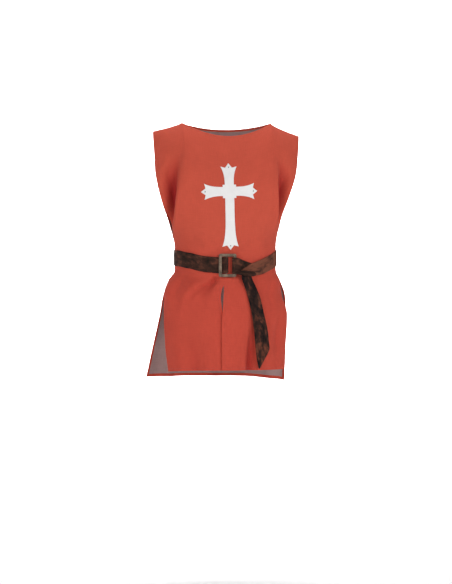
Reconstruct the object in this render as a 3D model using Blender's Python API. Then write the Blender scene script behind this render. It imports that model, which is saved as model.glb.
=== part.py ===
"""Belted tabard: two cloth panels joined at the shoulders, a sewn-on cross, and a knotted belt with its buckle.

Metres, +Z up. The origin is the middle of the neck opening, level with the neck ends of the shoulder seams.
The front faces -Y. Left and right are as seen from the front, so left is -X.
"""

import math
from collections import namedtuple

import bmesh
import bpy
import numpy as np
from mathutils import Vector
from mathutils.bvhtree import BVHTree

# Driving dimensions
CLOTH = 0.0012  # thickness of the panel cloth
SEAM = 0.0003  # gap between pieces that are sewn together or lie on each other
HALF_WIDTH = 0.1725  # half the panels' width at the shoulders
NECK_HALF = 0.105  # half the width of the neck opening
SHOULDER_DROP = {-1: 0.0208, 1: 0.0296}  # fall of the shoulder seam to its outer end, on the left and right
CHEST_ROUND = 0.150  # height over which the cloth turns from the top to upright at the middle
SHOULDER_ROUND = 0.072  # the same at the shoulder's outer end
SHOULDER_CURVE = 0.75  # under 1, the seam falls faster near the neck
TOP_FADE = 0.200  # below this level the shoulder's slope no longer tilts the rows

BELT_LEVEL = -0.3260
BELT_WIDTH = 0.037
BELT_DIP = 0.0095  # the belt hangs this much under its level in front, and over it at the sides
BELT_REACH = (0.035, 0.110)  # the rows follow the dip fully, then less, over these heights from the belt
STRAP = 0.0018  # thickness of the belt's strap
LIE = 0.0004  # height at which a piece lies on the cloth

SLIT_LEVEL = -0.372  # top of the middle slit in the front skirt
CROSS_CENTRE = (-0.003, -0.165)
CROSS_TILT = math.radians(1.3)
CROSS_THICKNESS = 0.0010
BUCKLE_X = -0.0072
BUCKLE_SIZE = (0.041, 0.054)
BUCKLE_BAR = (0.007, 0.003)  # width and depth of the frame's bars
BUCKLE_LIFT = 0.0058  # height of the frame's back over the cloth

# A row for each section of a panel, from its top to its hem: how far it reaches to the left and right, where
# its middle lies, how far back its edges lie, and the angle that it wraps round on each side, in degrees.
Section = namedtuple("Section", "level left right centre_x centre_y edge_y wrap")
FRONT_SECTIONS = (
    Section(0.000, 0.1725, 0.1725, 0.000, -0.086, -0.018, 55),
    Section(-0.060, 0.1712, 0.1665, 0.000, -0.094, -0.030, 55),
    Section(-0.105, 0.1705, 0.1610, -0.001, -0.100, -0.044, 55),
    Section(-0.150, 0.1640, 0.1510, -0.002, -0.104, -0.050, 57),
    Section(-0.195, 0.1535, 0.1390, -0.003, -0.106, -0.045, 62),
    Section(-0.240, 0.1390, 0.1275, -0.004, -0.106, -0.028, 74),
    Section(-0.275, 0.1260, 0.1200, -0.005, -0.103, -0.008, 86),
    Section(-0.300, 0.1210, 0.1175, -0.007, -0.097, 0.000, 90),
    Section(-0.356, 0.1210, 0.1175, -0.007, -0.097, 0.000, 90),
    Section(-0.378, 0.1350, 0.1258, -0.017, -0.102, -0.010, 86),
    Section(-0.410, 0.1480, 0.1288, -0.020, -0.107, -0.024, 78),
    Section(-0.450, 0.1490, 0.1410, -0.019, -0.110, -0.032, 70),
    Section(-0.520, 0.1460, 0.1370, -0.018, -0.113, -0.036, 64),
    Section(-0.578, 0.1390, 0.1320, -0.017, -0.115, -0.036, 62),
)
BACK_SECTIONS = (
    Section(0.000, 0.1725, 0.1725, 0.000, 0.066, 0.018, 55),
    Section(-0.060, 0.1670, 0.1665, 0.000, 0.080, 0.030, 55),
    Section(-0.105, 0.1640, 0.1620, 0.000, 0.090, 0.040, 55),
    Section(-0.150, 0.1565, 0.1530, 0.000, 0.096, 0.044, 57),
    Section(-0.195, 0.1460, 0.1410, 0.000, 0.097, 0.038, 62),
    Section(-0.240, 0.1335, 0.1290, 0.000, 0.095, 0.022, 74),
    Section(-0.275, 0.1255, 0.1205, 0.000, 0.092, 0.006, 86),
    Section(-0.300, 0.1210, 0.1175, 0.000, 0.088, 0.000, 90),
    Section(-0.356, 0.1210, 0.1175, 0.000, 0.088, 0.000, 90),
    Section(-0.378, 0.1350, 0.1300, 0.000, 0.100, 0.012, 85),
    Section(-0.410, 0.1460, 0.1440, 0.000, 0.114, 0.028, 78),
    Section(-0.450, 0.1530, 0.1480, -0.003, 0.121, 0.042, 70),
    Section(-0.520, 0.1670, 0.1490, -0.008, 0.128, 0.060, 64),
    Section(-0.598, 0.1825, 0.1475, -0.016, 0.132, 0.078, 60),
)

# A row for each large fold: where it runs across the panel (-1 to 1) at its top and foot, the levels of those,
# how far it stands out (or in, if negative), its half width, and the share of its length where it is deepest.
Fold = namedtuple("Fold", "across_top across_foot top foot depth width peak")
FRONT_FOLDS = (
    Fold(-0.60, -0.94, -0.040, -0.262, -0.027, 0.018, 0.55),
    Fold(0.66, 0.94, -0.045, -0.258, -0.024, 0.017, 0.55),
    Fold(-0.48, -0.70, -0.050, -0.270, 0.006, 0.020, 0.50),
    Fold(0.50, 0.72, -0.060, -0.270, 0.005, 0.020, 0.50),
    Fold(-0.84, -0.78, -0.352, -0.470, 0.008, 0.020, 0.40),
    Fold(-0.20, -0.30, -0.352, -0.450, -0.007, 0.013, 0.30),
    Fold(-0.50, -0.46, -0.400, -0.578, -0.008, 0.030, 1.00),
    Fold(0.36, 0.34, -0.415, -0.578, -0.009, 0.014, 1.00),
    Fold(0.55, 0.58, -0.390, -0.578, 0.006, 0.026, 0.80),
    Fold(0.80, 0.76, -0.410, -0.570, -0.007, 0.018, 0.60),
)
BACK_FOLDS = (
    Fold(-0.62, -0.92, -0.050, -0.255, -0.020, 0.018, 0.55),
    Fold(0.66, 0.92, -0.055, -0.250, -0.018, 0.017, 0.55),
    Fold(-0.12, -0.06, -0.110, -0.296, -0.007, 0.022, 0.70),
    Fold(0.26, 0.20, -0.150, -0.296, 0.006, 0.018, 0.70),
    Fold(-0.66, -0.62, -0.360, -0.598, -0.012, 0.022, 1.00),
    Fold(-0.30, -0.34, -0.354, -0.598, 0.011, 0.024, 1.00),
    Fold(0.04, 0.02, -0.358, -0.598, -0.013, 0.020, 1.00),
    Fold(0.36, 0.38, -0.354, -0.598, 0.012, 0.024, 1.00),
    Fold(0.70, 0.74, -0.362, -0.598, -0.011, 0.022, 1.00),
)

# A panel's facing is -1 in front and 1 behind. hem_left and hem_right raise the ends of its hem.
Panel = namedtuple("Panel", "facing sections folds neck_drop hem_left hem_right neck_columns arm_columns row_counts")
FRONT = Panel(-1, FRONT_SECTIONS, FRONT_FOLDS, 0.034, -0.004, 0.001, 9, 14, (16, 2, 1, 16))
BACK = Panel(1, BACK_SECTIONS, BACK_FOLDS, 0.014, 0.000, -0.009, 7, 7, (12, 2, 1, 12))

# The middle slit: how far its two edges stand apart, or lap where negative, and how far the right one stands
# forward of the left.
SlitRow = namedtuple("SlitRow", "level gap step")
SLIT = (
    SlitRow(-0.372, 0.0000, 0.0000),
    SlitRow(-0.385, 0.0056, 0.0010),
    SlitRow(-0.400, 0.0070, 0.0026),
    SlitRow(-0.425, 0.0000, 0.0038),
    SlitRow(-0.450, -0.0060, 0.0042),
    SlitRow(-0.578, -0.0100, 0.0044),
)

# The belt's strap from its end, sewn round the buckle's middle bar, to where it leaves the cloth's curve.
# x is where it lies across the front, lift is the height of its middle over the cloth.
Bend = namedtuple("Bend", "x lift")
STRAP_END = (
    Bend(-0.0480, 0.0013),
    Bend(-0.0200, 0.0014),
    Bend(-0.0120, 0.0021),
    Bend(-0.0078, 0.0040),
    Bend(-0.0062, 0.0066),
    Bend(-0.0078, 0.0091),
    Bend(-0.0112, 0.0094),
    Bend(-0.0152, 0.0070),
    Bend(-0.0195, 0.0046),
    Bend(-0.0280, 0.0040),
    Bend(-0.0480, 0.0036),
    Bend(-0.0560, 0.0026),
    Bend(-0.0680, 0.0014),
)
# The strap's last stretch, from the right side over the tab to the knot: its top and bottom edge come together.
EndRow = namedtuple("EndRow", "x lift top bottom")
STRAP_WEDGE = (
    EndRow(0.1130, 0.0013, -0.3005, -0.3372),
    EndRow(0.1000, 0.0014, -0.3085, -0.3445),
    EndRow(0.0780, 0.0030, -0.3190, -0.3545),
    EndRow(0.0620, 0.0057, -0.3252, -0.3580),
    EndRow(0.0450, 0.0062, -0.3322, -0.3592),
    EndRow(0.0330, 0.0080, -0.3395, -0.3597),
    EndRow(0.0220, 0.0104, -0.3480, -0.3582),
)
# The short tab: sewn round the buckle's right bar, both its layers run to the right and end under the strap.
TAB = (
    EndRow(0.0570, 0.0013, -0.3330, -0.3530),
    EndRow(0.0400, 0.0013, -0.3275, -0.3550),
    EndRow(0.0200, 0.0014, -0.3205, -0.3555),
    EndRow(0.0110, 0.0022, -0.3181, -0.3551),
    EndRow(0.0058, 0.0038, -0.3181, -0.3551),
    EndRow(0.0036, 0.0070, -0.3181, -0.3551),
    EndRow(0.0044, 0.0108, -0.3181, -0.3551),
    EndRow(0.0085, 0.0124, -0.3181, -0.3551),
    EndRow(0.0142, 0.0126, -0.3184, -0.3552),
    EndRow(0.0194, 0.0096, -0.3200, -0.3554),
    EndRow(0.0260, 0.0052, -0.3224, -0.3555),
    EndRow(0.0400, 0.0035, -0.3275, -0.3550),
    EndRow(0.0570, 0.0034, -0.3330, -0.3530),
)
# The knot: a flattened roll across the strap's end. depth and height are half its section.
KnotRow = namedtuple("KnotRow", "x z lift depth height")
KNOT = (
    KnotRow(0.0105, -0.3535, 0.0150, 0.0010, 0.0016),
    KnotRow(0.0165, -0.3533, 0.0170, 0.0021, 0.0042),
    KnotRow(0.0265, -0.3530, 0.0174, 0.0027, 0.0062),
    KnotRow(0.0375, -0.3545, 0.0168, 0.0027, 0.0062),
    KnotRow(0.0475, -0.3550, 0.0156, 0.0025, 0.0057),
    KnotRow(0.0545, -0.3560, 0.0120, 0.0014, 0.0026),
)
# The hanging end of the belt, down to where its edges come together in a point.
TailRow = namedtuple("TailRow", "z left right left_lift right_lift")
TAIL = (
    TailRow(-0.3500, 0.0260, 0.0470, 0.0132, 0.0118),
    TailRow(-0.3655, 0.0256, 0.0500, 0.0122, 0.0134),
    TailRow(-0.3840, 0.0320, 0.0580, 0.0072, 0.0165),
    TailRow(-0.4120, 0.0410, 0.0690, 0.0052, 0.0180),
    TailRow(-0.4480, 0.0486, 0.0772, 0.0048, 0.0165),
    TailRow(-0.4800, 0.0534, 0.0850, 0.0048, 0.0150),
    TailRow(-0.5120, 0.0564, 0.0889, 0.0052, 0.0140),
    TailRow(-0.5304, 0.0578, 0.0899, 0.0058, 0.0130),
    TailRow(-0.5540, 0.0608, 0.0782, 0.0070, 0.0105),
    TailRow(-0.5740, 0.0652, 0.0676, 0.0084, 0.0090),
)

# The cross: the length of each arm from the crossing, the square at the crossing, and how an arm's end is cut.
CROSS_ARMS = (0.0655, 0.0655, 0.0655, 0.1350)  # right, up, left and down
ARM_ROOT = 0.0105
ARM_BARB = 0.0188
ARM_FLARES = (2.6, 2.6, 2.6, 5.0)  # how late each arm widens, in the same order
BARB_BACK = 0.0076
NOTCH_BACK = 0.0105
NOTCH_HALF = 0.0080
BLOCK_HALF = 0.0155
FLARE_STEPS = 8
CROSS_CELL = 0.012


def clear_scene():
    """Removes what the scene holds."""
    for obj in list(bpy.data.objects):
        bpy.data.objects.remove(obj)


def material(name, colour, roughness, metallic=0.0):
    """A plain Principled material."""
    made = bpy.data.materials.new(name)
    made.use_nodes = True
    shader = made.node_tree.nodes["Principled BSDF"]
    shader.inputs["Base Color"].default_value = (*colour, 1.0)
    shader.inputs["Roughness"].default_value = roughness
    shader.inputs["Metallic"].default_value = metallic
    return made


def add_object(name, points, faces, finish):
    """A smooth-shaded mesh object from points and faces."""
    mesh = bpy.data.meshes.new(name)
    mesh.from_pydata([tuple(p) for p in points], [], [tuple(f) for f in faces])
    mesh.update()
    mesh.shade_smooth()
    mesh.set_sharp_from_angle(angle=math.radians(40))
    obj = bpy.data.objects.new(name, mesh)
    obj.data.materials.append(finish)
    bpy.context.scene.collection.objects.link(obj)
    return obj


def smoothstep(share):
    """Eases from 0 to 1."""
    share = np.clip(share, 0.0, 1.0)
    return share * share * (3.0 - 2.0 * share)


def column_at(table, column, place, key="level"):
    """A table's column at any place down it: a cubic through the rows that never overshoots them."""
    rows = sorted(table, key=lambda row: getattr(row, key))
    knots = np.array([getattr(row, key) for row in rows])
    values = np.array([getattr(row, column) for row in rows], float)
    rises = np.diff(values) / np.diff(knots)
    slopes = np.concatenate([rises[:1], np.zeros(len(rows) - 2), rises[-1:]])
    for i in range(1, len(rows) - 1):
        before, after = rises[i - 1], rises[i]
        if before * after > 0:
            slopes[i] = 2.0 * before * after / (before + after)
    place = np.clip(place, knots[0], knots[-1])
    i = np.clip(np.searchsorted(knots, place) - 1, 0, len(rows) - 2)
    step = knots[i + 1] - knots[i]
    t = (place - knots[i]) / step
    return (
        (2 * t**3 - 3 * t**2 + 1) * values[i]
        + (t**3 - 2 * t**2 + t) * step * slopes[i]
        + (3 * t**2 - 2 * t**3) * values[i + 1]
        + (t**3 - t**2) * step * slopes[i + 1]
    )


def fold_offset(folds, across, level):
    """How far the folds move the cloth out at a place on the panel: soft ridges and troughs along slanting lines."""
    total = np.zeros_like(across + level)
    for fold in folds:
        t = np.clip((fold.top - level) / (fold.top - fold.foot), 0.0, 1.0)
        line = fold.across_top + (fold.across_foot - fold.across_top) * t
        falling = 1.0 if fold.peak >= 1.0 else (1.0 - t) / (1.0 - fold.peak)
        depth = fold.depth * smoothstep(np.minimum(t / fold.peak, falling))
        total = total + depth * np.exp(-(((across - line) * HALF_WIDTH / fold.width) ** 2))
    return total


def shoulder_height(x):
    """The shoulder seams' height, carried on level across the neck opening."""
    past_neck = np.maximum(np.abs(x) - NECK_HALF, 0.0) / (HALF_WIDTH - NECK_HALF)
    return -(past_neck**SHOULDER_CURVE) * np.where(x < 0, SHOULDER_DROP[-1], SHOULDER_DROP[1])


def top_height(panel, x):
    """The height of a panel's top edge: its shoulder seams, and its neckline between them."""
    inside = np.clip(1.0 - (x / NECK_HALF) ** 2, 0.0, 1.0)
    return shoulder_height(x) - panel.neck_drop * inside


def belt_dip(panel, across, level):
    """How far the rows near the belt hang under their level in front and rise at the sides and back."""
    full, fading = BELT_REACH
    near = smoothstep(1.0 - (np.abs(level - BELT_LEVEL) - full) / fading)
    wave = -np.cos(np.pi * across) if panel.facing < 0 else np.ones_like(across)
    return BELT_DIP * near * wave


def surface(panel, across, level):
    """Points on a panel's outer face. across runs from -1 at its left edge to 1, level from 0 at its top down."""
    across, level = np.broadcast_arrays(np.asarray(across, float), np.asarray(level, float))
    row = Section(level, *(column_at(panel.sections, name, level) for name in Section._fields[1:]))
    turn = np.radians(row.wrap)
    reach = np.where(across < 0, row.left + row.centre_x, row.right - row.centre_x)
    depth = row.edge_y - row.centre_y
    x = row.centre_x + reach * np.sin(across * turn) / np.sin(turn)
    y = row.centre_y + depth * (1.0 - np.cos(across * turn)) / (1.0 - np.cos(turn))
    along_x = reach * np.cos(across * turn) / np.sin(turn)
    along_y = depth * np.sin(across * turn) / (1.0 - np.cos(turn))
    stretch = panel.facing / np.hypot(along_x, along_y)

    tilt = top_height(panel, x) * smoothstep(1.0 + level / TOP_FADE)
    hem_level = panel.sections[-1].level
    skirt = smoothstep((level - BELT_LEVEL) / (hem_level - BELT_LEVEL))
    hem = np.where(across < 0, panel.hem_left, panel.hem_right) * across**2 * skirt
    z = level + tilt + hem + belt_dip(panel, across, level)

    offset = fold_offset(panel.folds, across, level)
    under = shoulder_height(x) - z
    outward = np.clip(np.abs(x) / HALF_WIDTH, 0.0, 1.0)
    rounding = CHEST_ROUND + (SHOULDER_ROUND - CHEST_ROUND) * smoothstep(outward)
    upright = np.sqrt(1.0 - (1.0 - np.clip(under / rounding, 0.0, 1.0)) ** 2)
    x = x - along_y * stretch * offset
    y = (y + along_x * stretch * offset) * upright + panel.facing * SEAM / 2
    return np.stack([x, y, z], axis=-1)


def wall_normals(panel, across, level):
    """Unit vectors out of a panel's outer face, from its slopes across and down."""
    step = 1e-4
    hem_level = panel.sections[-1].level
    left, right = np.clip(across - step, -1, 1), np.clip(across + step, -1, 1)
    low, high = np.clip(level - step, hem_level, 0), np.clip(level + step, hem_level, 0)
    over = surface(panel, right, level) - surface(panel, left, level)
    up = surface(panel, across, high) - surface(panel, across, low)
    normal = -panel.facing * np.cross(over, up)
    return normal / np.linalg.norm(normal, axis=-1, keepdims=True)


def across_columns(panel):
    """The columns of a panel's grid, with one at each end of the neckline."""
    wrap = math.radians(panel.sections[0].wrap)
    neck = math.asin(NECK_HALF / HALF_WIDTH * math.sin(wrap)) / wrap
    inner = np.linspace(0.0, neck, panel.neck_columns + 1)
    outer = np.linspace(neck, 1.0, panel.arm_columns + 1)[1:]
    half = np.concatenate([inner, outer])
    return np.concatenate([-half[:0:-1], half])


def row_levels(panel):
    """The rows of a panel's grid: closer together at the shoulders, with rows at the belt and the slit's top."""
    chest, waist, hip, skirt = panel.row_counts
    above, below = -0.300, -0.356
    return np.concatenate(
        [
            above * np.linspace(0.0, 1.0, chest + 1) ** 1.5,
            np.linspace(above, below, waist + 1)[1:],
            np.linspace(below, SLIT_LEVEL, hip + 1)[1:],
            np.linspace(SLIT_LEVEL, panel.sections[-1].level, skirt + 1)[1:],
        ]
    )


def closed_wall(outer, inner, faces):
    """Points and faces of a closed wall between two sheets that share their faces, with a rim along each open edge."""
    count = len(outer)
    edges = {(face[i - 1], face[i]) for face in faces for i in range(len(face))}
    rim = [(b, a, a + count, b + count) for a, b in edges if (b, a) not in edges]
    lining = [tuple(i + count for i in reversed(face)) for face in faces]
    return np.concatenate([outer, inner]), [*faces, *lining, *sorted(rim)]


def panel_sheet(panel, slit=()):
    """Outer and inner points of a panel and its faces. A slit parts the middle column below its top."""
    columns, levels = across_columns(panel), row_levels(panel)
    across, level = np.meshgrid(columns, levels)
    outer = surface(panel, across, level)
    inner = outer - CLOTH * wall_normals(panel, across, level)
    wide, tall = len(columns), len(levels)
    index = np.arange(wide * tall).reshape(tall, wide)
    middle = wide // 2
    left_of, right_of = index.copy(), index.copy()
    sheets = [outer.reshape(-1, 3), inner.reshape(-1, 3)]
    if slit:
        rows = np.flatnonzero(levels < SLIT_LEVEL - 1e-6)
        gap = column_at(slit, "gap", levels[rows]) / 2
        step = column_at(slit, "step", levels[rows]) / 2
        shift = np.stack([gap, -step, np.zeros_like(gap)], axis=-1)
        right_edge = [sheet[index[rows, middle]] + shift for sheet in sheets]
        for sheet in sheets:
            sheet[index[rows, middle]] -= shift
        left_of[rows, middle] = index[rows, middle]
        right_of[rows, middle] = wide * tall + np.arange(len(rows))
        sheets = [np.concatenate([sheet, more]) for sheet, more in zip(sheets, right_edge)]
    faces = []
    for r in range(tall - 1):
        for c in range(wide - 1):
            own = right_of if c >= middle else left_of
            face = (own[r, c], own[r + 1, c], own[r + 1, c + 1], own[r, c + 1])
            faces.append(tuple(int(i) for i in (face if panel.facing < 0 else face[::-1])))
    return sheets[0], sheets[1], faces


def cloth_under(tree, x, z):
    """The point of the front panel's outer face at a place seen from the front."""
    hit = tree.ray_cast(Vector((x, -1.0, z)), Vector((0.0, 1.0, 0.0)))[0]
    return np.array(hit)


def belt_ring(turn):
    """Where the belt's line lies on the cloth, and the way out of it. turn is 0 in front, -1 at the left side,
    -2 behind, -3 at the right side and -4 in front again."""
    step = 1e-4

    def at(place):
        behind = -3.0 <= place <= -1.0
        panel = BACK if behind else FRONT
        across = -2.0 - place if behind else (place if place > -1.0 else place + 4.0)
        return surface(panel, across, BELT_LEVEL)

    point, ahead = at(turn), at(turn - step)
    run = ahead - point
    out = np.array([-run[1], run[0], 0.0])
    return point, out / np.linalg.norm(out)


def turn_at(x):
    """The turn along the belt's line of a place across the front."""
    row = next(s for s in FRONT_SECTIONS if s.level == -0.300)
    reach = row.left + row.centre_x if x < row.centre_x else row.right - row.centre_x
    return math.asin((x - row.centre_x) / reach) / (math.pi / 2)


def spline(points, steps):
    """Points along a smooth curve through the given ones, with that many steps between two of them."""
    points = np.asarray(points, float)
    padded = np.concatenate([2 * points[:1] - points[1:2], points, 2 * points[-1:] - points[-2:-1]])
    found = []
    for before, start, end, after in zip(padded, padded[1:], padded[2:], padded[3:]):
        for t in np.arange(steps) / steps:
            found.append(
                start
                + 0.5 * t * (end - before)
                + t * t * (before - 2.5 * start + 2 * end - 0.5 * after)
                + t**3 * (1.5 * (start - end) + 0.5 * (after - before))
            )
    return np.array([*found, points[-1]])


def loft(rings):
    """Points and faces of a closed solid through rings of equally many points, with a cap at each end."""
    rings = np.asarray(rings)
    count, sides = rings.shape[:2]
    index = np.arange(count * sides).reshape(count, sides)
    faces = [tuple(int(i) for i in index[0][::-1]), tuple(int(i) for i in index[-1])]
    for near, far in zip(index, index[1:]):
        for i in range(sides):
            j = (i + 1) % sides
            faces.append((int(near[i]), int(near[j]), int(far[j]), int(far[i])))
    return rings.reshape(-1, 3), faces


def facing_out(points, faces):
    """The faces turned so that the solid's volume is positive."""
    volume = 0.0
    for face in faces:
        for b, c in zip(face[1:], face[2:]):
            volume += np.dot(points[face[0]], np.cross(points[b], points[c]))
    return faces if volume > 0 else [face[::-1] for face in faces]


def strap_solid(line, tops, bottoms):
    """A strap on edge along a level line: its thickness lies across the line, its edges at the given heights."""
    run = np.gradient(line, axis=0)
    run[:, 2] = 0.0
    across = np.stack([-run[:, 1], run[:, 0], np.zeros(len(run))], axis=-1)
    across *= STRAP / 2 / np.linalg.norm(across, axis=-1, keepdims=True)
    near, far = line + across, line - across
    rings = np.stack([near, far, far, near], axis=1)
    rings[:, 0:2, 2] = np.asarray(tops)[:, None]
    rings[:, 2:4, 2] = np.asarray(bottoms)[:, None]
    return loft(rings)


def strap_line(turns, lifts):
    """A level line at the given turns round the waist, that far over the cloth."""
    found = [belt_ring(turn) for turn in turns]
    return np.array([point + out * lift for (point, out), lift in zip(found, lifts)])


def make_belt_band(finish):
    """The strap: sewn round the buckle's middle bar, once round the waist, and over the tab to the knot."""
    ends = spline([(turn_at(bend.x), bend.lift) for bend in STRAP_END], 2)
    wedge = spline([(turn_at(row.x) - 4.0, row.lift, row.top, row.bottom) for row in STRAP_WEDGE], 2)
    first, last = ends[-1, 0], wedge[0, 0]
    ring = np.concatenate([across_columns(FRONT), -2.0 - across_columns(BACK), across_columns(FRONT) - 4.0])
    ring = np.unique(np.round(ring, 9))[::-1]
    ring = ring[(ring < first - 0.02) & (ring > last + 0.02)]
    heights = np.array([belt_ring(turn)[0][2] for turn in [*ends[:, 0], *ring]])
    lie = LIE + STRAP / 2
    turns = np.concatenate([ends[:, 0], ring, wedge[:, 0]])
    lifts = np.concatenate([ends[:, 1], np.full(len(ring), lie), wedge[:, 1]])
    tops = np.concatenate([heights + BELT_WIDTH / 2, wedge[:, 2]])
    bottoms = np.concatenate([heights - BELT_WIDTH / 2, wedge[:, 3]])
    points, faces = strap_solid(strap_line(turns, lifts), tops, bottoms)
    return add_object("belt_band", points, facing_out(points, faces), finish)


def make_belt_tab(finish):
    """The short doubled tab that holds the buckle's right bar."""
    rows = spline([(turn_at(row.x), row.lift, row.top, row.bottom) for row in TAB], 2)
    points, faces = strap_solid(strap_line(rows[:, 0], rows[:, 1]), rows[:, 2], rows[:, 3])
    return add_object("belt_tab", points, facing_out(points, faces), finish)


def make_belt_knot(finish):
    """The knot: an oval roll across the strap's narrow end."""
    rows = spline(KNOT, 2)
    angles = np.linspace(0.0, 2 * math.pi, 12, endpoint=False)
    rings = []
    for x, z, lift, depth, height in rows:
        point, out = belt_ring(turn_at(x))
        centre = point + out * lift
        centre[2] = z
        rings.append([centre + out * depth * math.cos(a) + np.array([0, 0, height * math.sin(a)]) for a in angles])
    points, faces = loft(rings)
    return add_object("belt_knot", points, facing_out(points, faces), finish)


def make_belt_tail(finish, cloth):
    """The belt's hanging end, with its slanting point."""
    rows = spline(TAIL, 2)
    rings = []
    for z, left, right, left_lift, right_lift in rows:
        near_left, near_right = cloth_under(cloth, left, z), cloth_under(cloth, right, z)
        near_left[1] -= left_lift
        near_right[1] -= right_lift
        edge = near_right - near_left
        out = np.array([edge[1], -edge[0], 0.0])
        out *= STRAP / 2 / np.linalg.norm(out)
        rings.append([near_left + out, near_right + out, near_right - out, near_left - out])
    points, faces = loft(rings)
    return add_object("belt_tail", points, facing_out(points, faces), finish)


def rounded_rectangle(width, height, radius, steps):
    """The outline of a rectangle with round corners, anticlockwise."""
    outline = []
    for corner, (sx, sz) in enumerate([(1, 1), (-1, 1), (-1, -1), (1, -1)]):
        for angle in np.linspace(0, math.pi / 2, steps + 1) + corner * math.pi / 2:
            x = sx * (width / 2 - radius) + radius * math.cos(angle)
            outline.append((x, sz * (height / 2 - radius) + radius * math.sin(angle)))
    return np.array(outline)


def make_buckle(finish):
    """A rectangular frame with round corners, and the thin middle bar that the strap's end is sewn round."""
    point, _ = belt_ring(turn_at(BUCKLE_X))
    bar, deep = BUCKLE_BAR
    width, height = BUCKLE_SIZE
    outer = rounded_rectangle(width, height, 0.0045, 3)
    inner = rounded_rectangle(width - 2 * bar, height - 2 * bar, 0.0020, 3)
    rings = []
    for outline, out in ((outer, 0.0), (outer, deep), (inner, deep), (inner, 0.0)):
        back = point[1] - BUCKLE_LIFT - out
        rings.append([(point[0] + x, back, point[2] + z) for x, z in outline])
    rings = np.array(rings).transpose(1, 0, 2)
    count, sides = rings.shape[:2]
    index = np.arange(count * sides).reshape(count, sides)
    faces = []
    for near, far in zip(index, np.roll(index, -1, axis=0)):
        for i in range(sides):
            j = (i + 1) % sides
            faces.append((int(near[i]), int(near[j]), int(far[j]), int(far[i])))
    frame_points = rings.reshape(-1, 3)
    frame = add_object("buckle", frame_points, facing_out(frame_points, faces), finish)
    bevel = frame.modifiers.new("rounded_edges", "BEVEL")
    bevel.width, bevel.segments, bevel.limit_method = 0.0008, 1, "ANGLE"

    reach = height / 2 - bar / 2
    rod = bmesh.new()
    bmesh.ops.create_cone(rod, cap_ends=True, segments=10, radius1=0.0012, radius2=0.0012, depth=2 * reach)
    mesh = bpy.data.meshes.new("buckle_middle_bar")
    rod.to_mesh(mesh)
    rod.free()
    middle = bpy.data.objects.new("buckle_middle_bar", mesh)
    middle.location = (point[0] - 0.0026, point[1] - BUCKLE_LIFT - 0.0008, point[2])
    middle.hide_render, middle.display_type = True, "WIRE"
    bpy.context.scene.collection.objects.link(middle)
    join = frame.modifiers.new("middle_bar", "BOOLEAN")
    join.operation, join.object = "UNION", middle
    return frame


def cross_outline():
    """The cross's outline in its own plane, anticlockwise: four flared arms with three-pointed ends."""
    outline = []
    for quarter, (length, flare) in enumerate(zip(CROSS_ARMS, ARM_FLARES)):
        along = np.linspace(BLOCK_HALF, length - BARB_BACK, FLARE_STEPS + 1)
        share = (along - BLOCK_HALF) / (along[-1] - BLOCK_HALF)
        half = ARM_ROOT + (ARM_BARB - ARM_ROOT) * share**flare
        end = [(length - NOTCH_BACK, -NOTCH_HALF), (length, 0.0), (length - NOTCH_BACK, NOTCH_HALF)]
        arm = [(BLOCK_HALF, -BLOCK_HALF), *zip(along, -half), *end, *zip(along[::-1], half[::-1])]
        turn = quarter * math.pi / 2 + CROSS_TILT
        cos, sin = math.cos(turn), math.sin(turn)
        outline += [(a * cos - s * sin, a * sin + s * cos) for a, s in arm]
    return outline


def make_cross(finish, cloth):
    """The sewn-on cross, cut flat, then laid on the front panel."""
    flat = bmesh.new()
    corners = [flat.verts.new((x, 0.0, z)) for x, z in cross_outline()]
    flat.faces.new(corners)
    for axis in (Vector((1, 0, 0)), Vector((0, 0, 1))):
        for i in range(-12, 12):
            geometry = [*flat.verts, *flat.edges, *flat.faces]
            place = axis * (i + 0.5) * CROSS_CELL
            bmesh.ops.bisect_plane(flat, geom=geometry, dist=1e-6, plane_co=place, plane_no=axis)
    bmesh.ops.triangulate(flat, faces=flat.faces[:])
    flat.verts.index_update()
    centre_x, centre_z = CROSS_CENTRE
    laid = np.array([cloth_under(cloth, v.co.x + centre_x, v.co.z + centre_z) for v in flat.verts])
    faces = [tuple(v.index for v in face.verts) for face in flat.faces]
    flat.free()
    inner = laid - np.array([0.0, LIE, 0.0])
    outer = laid - np.array([0.0, LIE + CROSS_THICKNESS, 0.0])
    points, faces = closed_wall(outer, inner, faces)
    return add_object("cross", points, facing_out(points, faces), finish)


def main():
    clear_scene()
    red_cloth = material("red_cloth", (0.50, 0.085, 0.050), 0.85)
    white_felt = material("white_felt", (0.82, 0.80, 0.79), 0.80)
    brown_suede = material("brown_suede", (0.085, 0.036, 0.024), 0.75)
    bronze = material("aged_bronze", (0.22, 0.15, 0.10), 0.45, 0.8)

    outer, inner, faces = panel_sheet(FRONT, SLIT)
    add_object("front_panel", *closed_wall(outer, inner, faces), red_cloth)
    cloth = BVHTree.FromPolygons([tuple(p) for p in outer], faces)
    add_object("back_panel", *closed_wall(*panel_sheet(BACK)), red_cloth)
    make_cross(white_felt, cloth)
    make_buckle(bronze)
    make_belt_band(brown_suede)
    make_belt_tab(brown_suede)
    make_belt_knot(brown_suede)
    make_belt_tail(brown_suede, cloth)


main()
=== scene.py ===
"""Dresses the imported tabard: hemmed cloth panels, a felt cross with studs, a suede belt and its buckle.

Metres, +Z up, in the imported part's frame. The front faces -Y, and left is -X.
"""

from __future__ import annotations

import logging
import math
from dataclasses import dataclass, replace
from enum import Enum
from typing import NamedTuple, Sequence

import bmesh
import bpy
import numpy as np
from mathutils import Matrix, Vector
from numpy.typing import NDArray

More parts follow.
